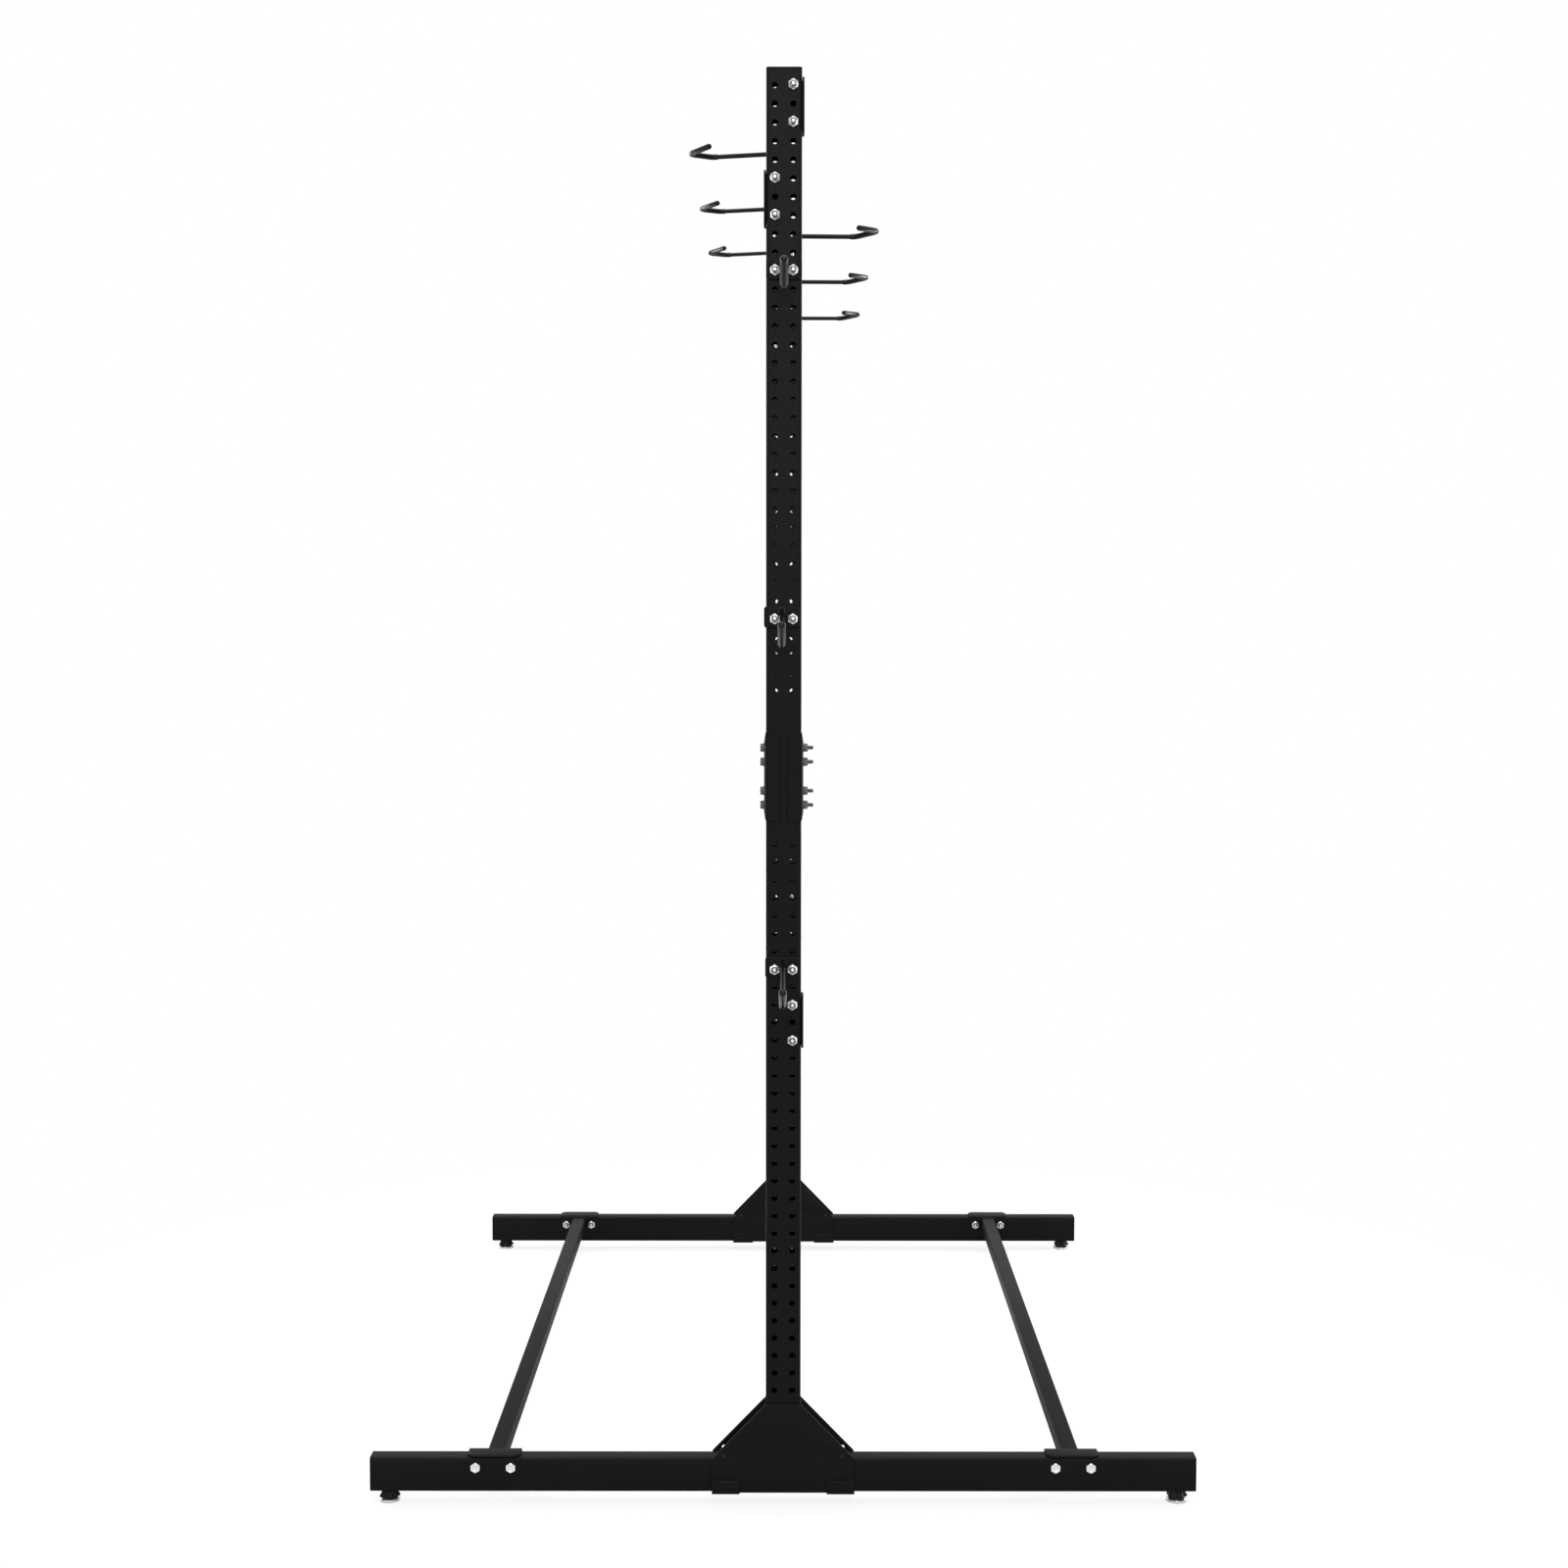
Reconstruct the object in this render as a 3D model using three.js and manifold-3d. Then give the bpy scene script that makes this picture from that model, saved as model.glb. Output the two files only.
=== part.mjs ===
// Free-standing vertical bike stand for six bikes, in millimetres.
// X runs across the stand, Y from the front frame to the rear frame and Z up from the floor.
// Two perforated uprights on cross feet carry three rails, with bike hooks on both sides of them.

import * as THREE from 'three';
import { mergeVertices } from 'three/addons/utils/BufferGeometryUtils.js';
import Module from 'manifold-3d';

const wasm = await Module();
wasm.setup();

// The whole stand
const frameSpacing = 1340; // centre of the front uprights to the centre of the rear ones
const footLength = 1190; // over the end caps
const legHeight = 17; // floor to the underside of a foot tube, with the levellers screwed in
const seatGap = 0.3; // between pieces that rest on each other or pass through each other
const cutOverrun = 5; // cutters run this far past what they cut
const weldDistance = 0.0001; // corners closer than this are one corner

// Rectangular steel tube of the feet and the uprights
const tubeWide = 50;
const tubeDeep = 30;
const tubeWall = 2;
const tubeCorner = 4;
const capFlange = 2.1;
const capPlug = 10;

// Uprights, each in two lengths that butt inside a splice
const uprightLength = 981;
const holePitch = 25.4;
const columnSpacing = 25.4;
const holeWidth = 8.8;
const jointMargin = 95; // butt joint to the nearest row of holes
const endMargin = 15; // at least this from the last row to the tube's end or the gussets

// Splice shells and their through bolts
const shellHeight = 124;
const shellWall = 2.5;
const shellSlot = 11; // open strip between the two shells, front and back
const shellTaper = 12;
const shellBoltInner = 20.5; // from the joint to the two middle bolts
const shellBoltOuter = 40.6; // from the joint to the two end bolts

// Gusset plates that hold an upright on its foot
const gussetPlate = 3;
const gussetRise = 80; // above the foot tube
const gussetHalfBase = 102.5;
const gussetHole = 6;
const gussetHoleInset = 16.5; // from the end of the plate
const gussetHoleRise = 5;
const strapPlate = 2;
const strapWide = 40;
const strapTurnUp = 19;

// Floor bars between the feet
const barSize = 25;
const barWall = 1.5;
const barCorner = 3;
const barAcross = 417; // from the centre line to the middle of a bar
const bracketWide = 76;
const bracketPlate = 3;
const bracketLeg = 40;
const bracketCorner = 7;
const bracketBoltSpacing = 50.8;
const bracketBoltDrop = 13.5; // below the top of the foot tube

// Rails of flat bar: each end is bent across an upright's inner face, and its lip hugs the upright's side
const railHigh = 76.2;
const railPlate = 3;
const railBend = 5; // outside radius of the bends
const railLip = 29; // along the side of the upright
const railChamfer = 6; // on the corners of the lip
const railBoltSpacing = 2 * holePitch;

// Bike hooks: rod welded to a plate, with a plastic sleeve from the first bend on
const hookSpacing = 420; // along the rail
const hookRowDrop = 8; // below the middle of the rail
const hookPlate = 3;
const hookPlateLong = 66;
const hookPlateHigh = 34;
const hookPlateCorner = 6;
const hookBoltSpacing = 44;
const hookRod = 7;
const hookRootDrop = 2.1; // the rod is welded on this far below the bolts
const hookBendOut = 108.6;
const hookBendAlong = 16.8;
const hookBendDrop = 4.3;
const hookNoseOut = 141.8;
const hookNoseAlong = 15.3;
const hookNoseDrop = 6.8;
const hookTipOut = 110.1;
const hookTipAlong = 56.6;
const hookTipDrop = 4.1;
const hookBendRadius = 14;
const hookNoseRadius = 11;
const hookSleeveWall = 0.8;
const hookSleeveLead = 8; // from the sleeve's open end to the first bend's corner
const hookSleeveCap = 2; // closed end of the sleeve, past the rod

// Gear hooks on the outer face of the front upright
const gearPlate = 3;
const gearPlateWide = 50;
const gearPlateHigh = 30;
const gearPlateRaise = 2.5; // middle of the plate above its bolts
const gearPlateCorner = 4;
const gearPlatePlay = 3; // the bolt slots let a plate shift this far either way
const gearRod = 7;
const gearRootRaise = 12;
const gearBellyOut = 97;
const gearBellyDrop = 38;
const gearTipOut = 152;
const gearTipDrop = 9;
const gearBendRadius = 9;
const gearSleeveWall = 1.5;
const gearSleeveCap = 2.5;
const gearSleeveStart = 6; // from the belly bend to the sleeve's open end
const gearShiftMiddle = 2.8; // the middle plate sits this far to the left
const gearShiftLower = 1; // and the lower one this far

// Levellers: a foot pad, and a hand knob moulded on a threaded stud
const levellerInset = 26; // from the end of the foot
const padRadius = 15;
const padHigh = 6;
const padRim = 3.5;
const padShoulder = 10;
const padFloor = 2;
const studRadius = 5;
const studHigh = 27; // above the knob
const knobTopRadius = 10.5;
const knobBaseRadius = 14;
const knobLobeShare = 0.12;
const knobLobes = 5;
const weldNutFlats = 17;
const weldNutHigh = 8;

// Fasteners
const m8Radius = 4;
const m8Flats = 13;
const m8Head = 5.3;
const m8Nut = 8;
const railBoltLength = 45;
const m6Hole = 6.6;

// Heights and places that follow from the sizes above
const footTop = legHeight + tubeWide;
const lowerStart = footTop + seatGap;
const jointHeight = lowerStart + uprightLength + seatGap / 2;
const upperStart = jointHeight + seatGap / 2;
const frontLine = -frameSpacing / 2;
const rearLine = frameSpacing / 2;
const columnLeft = -columnSpacing / 2;
const columnRight = columnSpacing / 2;
const upperRows = 1 + Math.floor((uprightLength - jointMargin - endMargin) / holePitch);
const lowerRows = 1 + Math.floor((uprightLength - jointMargin - gussetRise - endMargin) / holePitch);
const upperRow = (k) => jointHeight + jointMargin + k * holePitch;
const lowerRow = (k) => jointHeight - jointMargin - k * holePitch;
const rowFromTop = (k) => upperRow(upperRows - 1 - k);
const gussetHoleAcross = gussetHalfBase - gussetHoleInset;
const strapAcross = gussetHalfBase - strapWide / 2;
const footCapDepth = capFlange + seatGap;
const levellerAcross = footLength / 2 - levellerInset;
const knobBottom = padHigh + seatGap;
const knobTop = legHeight - seatGap;
const boltDropZ = footTop - bracketBoltDrop;

// Finishes
function finish(color, roughness, metalness) {
	return new THREE.MeshStandardMaterial({ color, roughness, metalness, flatShading: true });
}
const powderBlack = finish(0x1b1b1c, 0.55, 0.2);
const plasticBlack = finish(0x101011, 0.7, 0);
const sleeveBlack = finish(0x151516, 0.5, 0);
const zincBright = finish(0xc9cbcc, 0.3, 0.9);

// Axis frames for prisms: a profile drawn in two row axes is carried along the third one
const unitX = new THREE.Vector3(1, 0, 0);
const unitY = new THREE.Vector3(0, 1, 0);
const unitZ = new THREE.Vector3(0, 0, 1);
const carry = {
	x: new THREE.Matrix4().makeBasis(unitY, unitZ, unitX),
	y: new THREE.Matrix4().makeBasis(unitX, unitZ, unitY.clone().negate()),
	z: new THREE.Matrix4(),
};

function solidOf(geometry) {
	geometry.deleteAttribute('normal');
	geometry.deleteAttribute('uv');
	const merged = mergeVertices(geometry, weldDistance);
	const vertProperties = merged.attributes.position.array;
	const triVerts = new Uint32Array(merged.index.array);
	return new wasm.Manifold(new wasm.Mesh({ numProp: 3, vertProperties, triVerts }));
}

function meshOf(name, solid, material) {
	const surface = solid.getMesh();
	const geometry = new THREE.BufferGeometry();
	geometry.setAttribute('position', new THREE.BufferAttribute(surface.vertProperties, surface.numProp));
	geometry.setIndex(new THREE.BufferAttribute(surface.triVerts, 1));
	const mesh = new THREE.Mesh(geometry, material);
	mesh.name = name;
	return mesh;
}

// A profile in (y, z), (x, z) or (x, y), carried along the named axis from low to high
function prism(shape, axis, low, high) {
	const run = { depth: high - low, bevelEnabled: false, curveSegments: 1 };
	const geometry = new THREE.ExtrudeGeometry(shape, run);
	geometry.applyMatrix4(carry[axis]);
	if (axis === 'x') geometry.translate(low, 0, 0);
	if (axis === 'y') geometry.translate(0, high, 0);
	if (axis === 'z') geometry.translate(0, 0, low);
	return solidOf(geometry);
}

function roundedBox(wide, high, radius, atX = 0, atY = 0) {
	const x = wide / 2;
	const y = high / 2;
	const shape = new THREE.Shape();
	shape.absarc(atX + x - radius, atY + y - radius, radius, 0, Math.PI / 2);
	shape.absarc(atX - x + radius, atY + y - radius, radius, Math.PI / 2, Math.PI);
	shape.absarc(atX - x + radius, atY - y + radius, radius, Math.PI, Math.PI * 1.5);
	shape.absarc(atX + x - radius, atY - y + radius, radius, Math.PI * 1.5, Math.PI * 2);
	return shape;
}

function plainBox(wide, high, atX = 0, atY = 0) {
	return new THREE.Shape([
		new THREE.Vector2(atX - wide / 2, atY - high / 2),
		new THREE.Vector2(atX + wide / 2, atY - high / 2),
		new THREE.Vector2(atX + wide / 2, atY + high / 2),
		new THREE.Vector2(atX - wide / 2, atY + high / 2),
	]);
}

// A regular outline whose flats lie at the given distance from its middle
function flatSided(sides, flatRadius, atX = 0, atY = 0) {
	const radius = flatRadius / Math.cos(Math.PI / sides);
	const points = [];
	for (let i = 0; i < sides; i++) {
		const turn = ((i + 0.5) / sides) * Math.PI * 2;
		points.push(new THREE.Vector2(atX + radius * Math.cos(turn), atY + radius * Math.sin(turn)));
	}
	return new THREE.Shape(points);
}

// The same outline, with its corners on the given radius
function cornerSided(sides, radius, atX = 0, atY = 0) {
	return flatSided(sides, radius * Math.cos(Math.PI / sides), atX, atY);
}

// Places of the screws, worked out once: each has a place across and a height
const railSeats = {
	top: { column: columnRight, height: (rowFromTop(0) + rowFromTop(2)) / 2 },
	middle: { column: columnLeft, height: (rowFromTop(5) + rowFromTop(7)) / 2 },
	lower: { column: columnRight, height: (lowerRow(9) + lowerRow(11)) / 2 },
};
const gearSeats = [
	{ height: rowFromTop(10), shift: 0 },
	{ height: upperRow(5), shift: -gearShiftMiddle },
	{ height: lowerRow(7), shift: -gearShiftLower },
];
const shellBolts = [shellBoltInner, shellBoltOuter, -shellBoltInner, -shellBoltOuter];
const hookAlong = [-hookSpacing, 0, hookSpacing];
const bothSides = [-1, 1];

// Uprights: tubes drilled through front and back on a fixed pitch
function upright(start, rows, rowHeight, boltOffsets) {
	const section = roundedBox(tubeWide, tubeDeep, tubeCorner);
	section.holes.push(plainBox(tubeWide - 2 * tubeWall, tubeDeep - 2 * tubeWall));
	const drills = [];
	for (let k = 0; k < rows; k++) {
		for (const column of [columnLeft, columnRight]) {
			const hole = plainBox(holeWidth, holeWidth, column, rowHeight(k));
			drills.push(prism(hole, 'y', -tubeDeep / 2 - cutOverrun, tubeDeep / 2 + cutOverrun));
		}
	}
	for (const offset of boltOffsets) {
		const hole = flatSided(6, m6Hole / 2, 0, jointHeight + offset);
		drills.push(prism(hole, 'x', -tubeWide / 2 - cutOverrun, tubeWide / 2 + cutOverrun));
	}
	return prism(section, 'z', start, start + uprightLength).subtract(wasm.Manifold.union(drills));
}

function upperUpright(name, line) {
	const tube = upright(upperStart, upperRows, upperRow, [shellBoltInner, shellBoltOuter]);
	const mesh = meshOf(name, tube, powderBlack);
	mesh.position.y = line;
	return mesh;
}

// The lower length is welded between two gusset plates that stand astride the foot
function lowerUpright(name, line) {
	let frame = upright(lowerStart, lowerRows, lowerRow, [-shellBoltInner, -shellBoltOuter]);
	const face = tubeDeep / 2 + seatGap;
	const outer = face + gussetPlate;
	for (const side of bothSides) {
		const span = [side * face, side * outer].sort((a, b) => a - b);
		const weld = plainBox(tubeWide - 2 * tubeCorner, gussetRise, 0, footTop + seatGap + gussetRise / 2);
		const weldEnds = [(side * (tubeDeep - tubeWall)) / 2, (side * (face + outer)) / 2];
		const weldSpan = weldEnds.sort((a, b) => a - b);
		frame = frame.add(prism(gussetOutline(), 'y', ...span)).add(prism(weld, 'y', ...weldSpan));
	}
	for (const side of bothSides) {
		const middle = side * strapAcross;
		frame = frame.add(prism(strapOutline(), 'x', middle - strapWide / 2, middle + strapWide / 2));
	}
	const mesh = meshOf(name, frame, powderBlack);
	mesh.position.y = line;
	return mesh;
}

function gussetOutline() {
	const outline = new THREE.Shape([
		new THREE.Vector2(-tubeWide / 2, footTop + gussetRise),
		new THREE.Vector2(-gussetHalfBase, footTop),
		new THREE.Vector2(-gussetHalfBase, legHeight),
		new THREE.Vector2(gussetHalfBase, legHeight),
		new THREE.Vector2(gussetHalfBase, footTop),
		new THREE.Vector2(tubeWide / 2, footTop + gussetRise),
	]);
	for (const side of bothSides) {
		outline.holes.push(cornerSided(6, gussetHole / 2, side * gussetHoleAcross, footTop + gussetHoleRise));
	}
	return outline;
}

// A strap leaves the back plate, passes under the foot and turns up over the front plate
function strapOutline() {
	const outer = tubeDeep / 2 + seatGap + gussetPlate;
	const top = legHeight - seatGap;
	const under = top - strapPlate;
	return new THREE.Shape([
		new THREE.Vector2(outer, under),
		new THREE.Vector2(outer, legHeight + gussetPlate),
		new THREE.Vector2(outer - gussetPlate, legHeight + gussetPlate),
		new THREE.Vector2(outer - gussetPlate, top),
		new THREE.Vector2(gussetPlate - outer, top),
		new THREE.Vector2(gussetPlate - outer, top + strapTurnUp),
		new THREE.Vector2(-outer - strapPlate, top + strapTurnUp),
		new THREE.Vector2(-outer - strapPlate, under + strapPlate),
		new THREE.Vector2(-outer, under),
	]);
}

function uprightCap(name, line) {
	const top = upperStart + uprightLength;
	const seat = top + seatGap;
	const flange = prism(roundedBox(tubeWide, tubeDeep, tubeCorner), 'z', seat, seat + capFlange);
	const inset = 2 * (tubeWall + seatGap);
	const plugSection = plainBox(tubeWide - inset, tubeDeep - inset);
	const plug = prism(plugSection, 'z', top - capPlug, seat + capFlange / 2);
	const mesh = meshOf(name, flange.add(plug), plasticBlack);
	mesh.position.y = line;
	return mesh;
}

// Splice: two bent shells round the butt joint, the left one and the same one turned round
function spliceShell(name, line, side) {
	const outX = tubeWide / 2 + seatGap + shellWall;
	const outY = tubeDeep / 2 + seatGap + shellWall;
	const low = jointHeight - shellHeight / 2;
	const high = jointHeight + shellHeight / 2;
	const outer = roundedBox(2 * outX, 2 * outY, tubeCorner + shellWall);
	outer.holes.push(roundedBox(2 * (outX - shellWall), 2 * (outY - shellWall), tubeCorner));
	let shell = prism(outer, 'z', low, high);
	const keepWide = outX + cutOverrun - shellSlot / 2;
	const keep = plainBox(keepWide, 2 * (outY + cutOverrun), -shellSlot / 2 - keepWide / 2);
	shell = shell.intersect(prism(keep, 'z', low, high));
	const taperIn = shellWall - seatGap;
	for (const end of bothSides) {
		const edge = jointHeight + (end * shellHeight) / 2;
		const wedge = new THREE.Shape([
			new THREE.Vector2(-outX, edge - end * shellTaper),
			new THREE.Vector2(-outX + taperIn, edge),
			new THREE.Vector2(-outX + taperIn, edge + end * cutOverrun),
			new THREE.Vector2(-outX - cutOverrun, edge + end * cutOverrun),
			new THREE.Vector2(-outX - cutOverrun, edge - end * shellTaper),
		]);
		shell = shell.subtract(prism(wedge, 'y', -outY - cutOverrun, outY + cutOverrun));
	}
	for (const offset of shellBolts) {
		const hole = flatSided(6, m6Hole / 2, 0, jointHeight + offset);
		shell = shell.subtract(prism(hole, 'x', -outX - cutOverrun, 0));
	}
	const mesh = meshOf(name, shell, powderBlack);
	mesh.position.y = line;
	if (side > 0) mesh.rotation.z = Math.PI;
	return mesh;
}

// Feet: a tube on its edge, with a nut welded in for each leveller and a cap in each end
function footTube(name, line) {
	const half = footLength / 2 - footCapDepth;
	const middle = legHeight + tubeWide / 2;
	const section = roundedBox(tubeDeep, tubeWide, tubeCorner, 0, middle);
	section.holes.push(plainBox(tubeDeep - 2 * tubeWall, tubeWide - 2 * tubeWall, 0, middle));
	let tube = prism(section, 'x', -half, half);
	for (const side of bothSides) {
		const nutTop = legHeight + tubeWall + weldNutHigh;
		const nut = flatSided(6, weldNutFlats / 2, side * levellerAcross, 0);
		const studHole = flatSided(8, studRadius + seatGap, side * levellerAcross, 0);
		tube = tube.add(prism(nut, 'z', legHeight + tubeWall / 2, nutTop));
		tube = tube.subtract(prism(studHole, 'z', legHeight - cutOverrun, nutTop + cutOverrun));
		for (const x of bracketBolts(side)) {
			const hole = plainBox(holeWidth, holeWidth, x, boltDropZ);
			tube = tube.subtract(prism(hole, 'y', -tubeDeep / 2 - cutOverrun, tubeDeep / 2 + cutOverrun));
		}
	}
	const mesh = meshOf(name, tube, powderBlack);
	mesh.position.y = line;
	return mesh;
}

function footCap(name, line, side) {
	const middle = legHeight + tubeWide / 2;
	const end = footLength / 2;
	const flange = prism(roundedBox(tubeDeep, tubeWide, tubeCorner, 0, middle), 'x', end - capFlange, end);
	const inset = 2 * (tubeWall + seatGap);
	const plugSection = plainBox(tubeDeep - inset, tubeWide - inset, 0, middle);
	const plug = prism(plugSection, 'x', end - footCapDepth - capPlug, end - capFlange / 2);
	const mesh = meshOf(name, flange.add(plug), plasticBlack);
	mesh.position.y = line;
	if (side < 0) mesh.rotation.z = Math.PI;
	return mesh;
}

// Floor bars: a square tube let through the leg of an angle bracket at each end and welded to it
function bracketBolts(side) {
	return bothSides.map((step) => side * barAcross + (step * bracketBoltSpacing) / 2);
}

function floorBar(name, side) {
	const legFace = frameSpacing / 2 - tubeDeep / 2 - seatGap;
	const legInner = legFace - bracketPlate;
	const x = side * barAcross;
	const barMiddle = footTop - barSize / 2;
	let bar = prism(roundedBox(barSize, barSize, barCorner, x, barMiddle), 'y', -legFace, legFace);
	for (const end of bothSides) {
		const ends = [end * legInner, end * legFace].sort((a, b) => a - b);
		const legHigh = bracketLeg + seatGap + bracketPlate;
		const legShape = plainBox(bracketWide, legHigh, x, footTop + seatGap + bracketPlate - legHigh / 2);
		const leg = prism(legShape, 'y', ends[0], ends[1]);
		const reach = end * (legFace + seatGap + tubeDeep);
		const tongue = new THREE.Shape([
			new THREE.Vector2(x - bracketWide / 2, end * legInner),
			new THREE.Vector2(x + bracketWide / 2, end * legInner),
			new THREE.Vector2(x + bracketWide / 2, reach - end * bracketCorner),
			new THREE.Vector2(x + bracketWide / 2 - bracketCorner, reach),
			new THREE.Vector2(x - bracketWide / 2 + bracketCorner, reach),
			new THREE.Vector2(x - bracketWide / 2, reach - end * bracketCorner),
		]);
		const top = prism(tongue, 'z', footTop + seatGap, footTop + seatGap + bracketPlate);
		bar = bar.add(leg).add(top);
		for (const boltX of bracketBolts(side)) {
			const hole = plainBox(holeWidth, holeWidth, boltX, boltDropZ);
			bar = bar.subtract(prism(hole, 'y', ends[0] - cutOverrun, ends[1] + cutOverrun));
		}
	}
	const bore = plainBox(barSize - 2 * barWall, barSize - 2 * barWall, x, barMiddle);
	bar = bar.subtract(prism(bore, 'y', -legFace - cutOverrun, legFace + cutOverrun));
	return meshOf(name, bar, powderBlack);
}

// Rails: the web lies just off the centre line, the end flanges bend across it, and the lips end them
function rail(name, seat, hooks) {
	const low = seat.height - railHigh / 2;
	const high = seat.height + railHigh / 2;
	const end = frameSpacing / 2 - tubeDeep / 2 - seatGap;
	const back = -railPlate;
	const inside = tubeWide / 2 + seatGap;
	const outside = inside + railPlate;
	const lipEnd = end + seatGap + railLip;
	const plan = new THREE.Shape();
	plan.moveTo(outside, -lipEnd);
	plan.lineTo(inside, -lipEnd);
	plan.lineTo(inside, -end);
	plan.lineTo(back + railBend, -end);
	plan.absarc(back + railBend, -end + railBend, railBend, -Math.PI / 2, -Math.PI, true);
	plan.lineTo(back, end - railBend);
	plan.absarc(back + railBend, end - railBend, railBend, Math.PI, Math.PI / 2, true);
	plan.lineTo(inside, end);
	plan.lineTo(inside, lipEnd);
	plan.lineTo(outside, lipEnd);
	plan.absarc(outside - railBend, end - railPlate + railBend, railBend, 0, -Math.PI / 2, true);
	plan.lineTo(back + railBend, end - railPlate);
	plan.lineTo(0, end - railBend);
	plan.lineTo(0, -end + railBend);
	plan.lineTo(back + railBend, -end + railPlate);
	plan.absarc(outside - railBend, -end + railPlate - railBend, railBend, Math.PI / 2, 0, true);
	let bar = prism(plan, 'z', low, high);
	for (const step of bothSides) {
		const edge = seat.height + (step * railHigh) / 2;
		for (const toward of bothSides) {
			const corner = new THREE.Shape([
				new THREE.Vector2(toward * (lipEnd + cutOverrun), edge + step * cutOverrun),
				new THREE.Vector2(toward * (lipEnd - railChamfer - cutOverrun), edge + step * cutOverrun),
				new THREE.Vector2(toward * (lipEnd + cutOverrun), edge - step * (railChamfer + cutOverrun)),
			]);
			bar = bar.subtract(prism(corner, 'x', inside - cutOverrun, outside + cutOverrun));
		}
		const boltZ = seat.height + (step * railBoltSpacing) / 2;
		const hole = plainBox(holeWidth, holeWidth, Math.abs(seat.column), boltZ);
		bar = bar.subtract(prism(hole, 'y', -end - cutOverrun, end + cutOverrun));
	}
	for (const y of hooks) {
		for (const step of bothSides) {
			const boltY = y + (step * hookBoltSpacing) / 2;
			const hole = plainBox(holeWidth, holeWidth, boltY, seat.height - hookRowDrop);
			bar = bar.subtract(prism(hole, 'x', back - cutOverrun, cutOverrun));
		}
	}
	const mesh = meshOf(name, bar, powderBlack);
	if (seat.column < 0) mesh.rotation.z = Math.PI;
	return mesh;
}

// A bent wire: straight runs between corners, each corner rounded to an arc
class WirePath extends THREE.Curve {
	constructor(corners, radii, arcSteps) {
		super();
		this.stations = [];
		const last = corners.length - 1;
		const run = (i) => corners[i + 1].clone().sub(corners[i]).normalize();
		this.stations.push({ point: corners[0], tangent: run(0) });
		for (let i = 1; i < last; i++) {
			const before = run(i - 1);
			const after = run(i);
			const angle = before.angleTo(after);
			const radius = radii[i - 1];
			const entry = corners[i].clone().addScaledVector(before, -radius * Math.tan(angle / 2));
			const inward = after.clone().addScaledVector(before, -after.dot(before)).normalize();
			for (let s = 0; s <= arcSteps; s++) {
				const turn = (angle * s) / arcSteps;
				const point = entry.clone().addScaledVector(before, radius * Math.sin(turn));
				point.addScaledVector(inward, radius * (1 - Math.cos(turn)));
				const tangent = before.clone().multiplyScalar(Math.cos(turn));
				tangent.addScaledVector(inward, Math.sin(turn));
				this.stations.push({ point, tangent });
			}
		}
		this.stations.push({ point: corners[last], tangent: run(last - 1) });
	}
	at(t) {
		return this.stations[Math.round(t * (this.stations.length - 1))];
	}
	getPointAt(t, target = new THREE.Vector3()) {
		return target.copy(this.at(t).point);
	}
	getTangentAt(t, target = new THREE.Vector3()) {
		return target.copy(this.at(t).tangent);
	}
}

function wire(path, radius) {
	const steps = path.stations.length - 1;
	return solidOf(new THREE.ExtrudeGeometry(cornerSided(6, radius), { steps, extrudePath: path }));
}

// A point on the run from one corner to the next, a given length before or past the second
function beyond(from, to, length) {
	return to.clone().addScaledVector(to.clone().sub(from).normalize(), length);
}

// Bike hook corners, for the left side of a rail; the right side is the same hook turned over
const hookCorners = [
	new THREE.Vector3(0, 0, -hookRootDrop),
	new THREE.Vector3(-hookBendOut, hookBendAlong, -hookBendDrop),
	new THREE.Vector3(-hookNoseOut, -hookNoseAlong, -hookNoseDrop),
	new THREE.Vector3(-hookTipOut, -hookTipAlong, -hookTipDrop),
];
const hookRadii = [hookBendRadius, hookNoseRadius];

function placeHook(mesh, side, seat, y) {
	mesh.position.set(0, y, seat.height - hookRowDrop);
	if (side > 0) mesh.rotation.y = Math.PI;
	return mesh;
}

function bikeHook(name, side, seat, y) {
	const face = -railPlate - seatGap;
	let plate = prism(roundedBox(hookPlateLong, hookPlateHigh, hookPlateCorner), 'x', face - hookPlate, face);
	for (const step of bothSides) {
		const hole = plainBox(holeWidth, holeWidth, (step * hookBoltSpacing) / 2);
		plate = plate.subtract(prism(hole, 'x', face - hookPlate - cutOverrun, face + cutOverrun));
	}
	const root = beyond(hookCorners[1], hookCorners[0], face - hookPlate / 2);
	const path = new WirePath([root, ...hookCorners.slice(1)], hookRadii, 3);
	const rod = wire(path, hookRod / 2);
	return placeHook(meshOf(name, plate.add(rod), powderBlack), side, seat, y);
}

// The sleeve starts just before the first bend and closes over the end of the rod
function hookSleeve(name, side, seat, y) {
	const outside = hookRod / 2 + 2 * seatGap + hookSleeveWall;
	const bore = hookRod / 2 + 2 * seatGap;
	const start = beyond(hookCorners[0], hookCorners[1], -hookSleeveLead);
	const tip = beyond(hookCorners[2], hookCorners[3], hookSleeveCap);
	const boreTip = beyond(hookCorners[2], hookCorners[3], seatGap);
	const boreStart = beyond(hookCorners[0], hookCorners[1], -hookSleeveLead - cutOverrun);
	const middle = hookCorners.slice(1, 3);
	const skin = wire(new WirePath([start, ...middle, tip], hookRadii, 3), outside);
	const hollow = wire(new WirePath([boreStart, ...middle, boreTip], hookRadii, 3), bore);
	return placeHook(meshOf(name, skin.subtract(hollow), sleeveBlack), side, seat, y);
}

// Gear hook corners, from the plate's front face: out is towards -Y
const gearFace = -tubeDeep / 2 - seatGap - gearPlate;
const gearCorners = [
	new THREE.Vector3(0, gearFace + gearPlate / 2, gearRootRaise),
	new THREE.Vector3(0, gearFace - gearBellyOut, -gearBellyDrop),
	new THREE.Vector3(0, gearFace - gearTipOut, -gearTipDrop),
];

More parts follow.
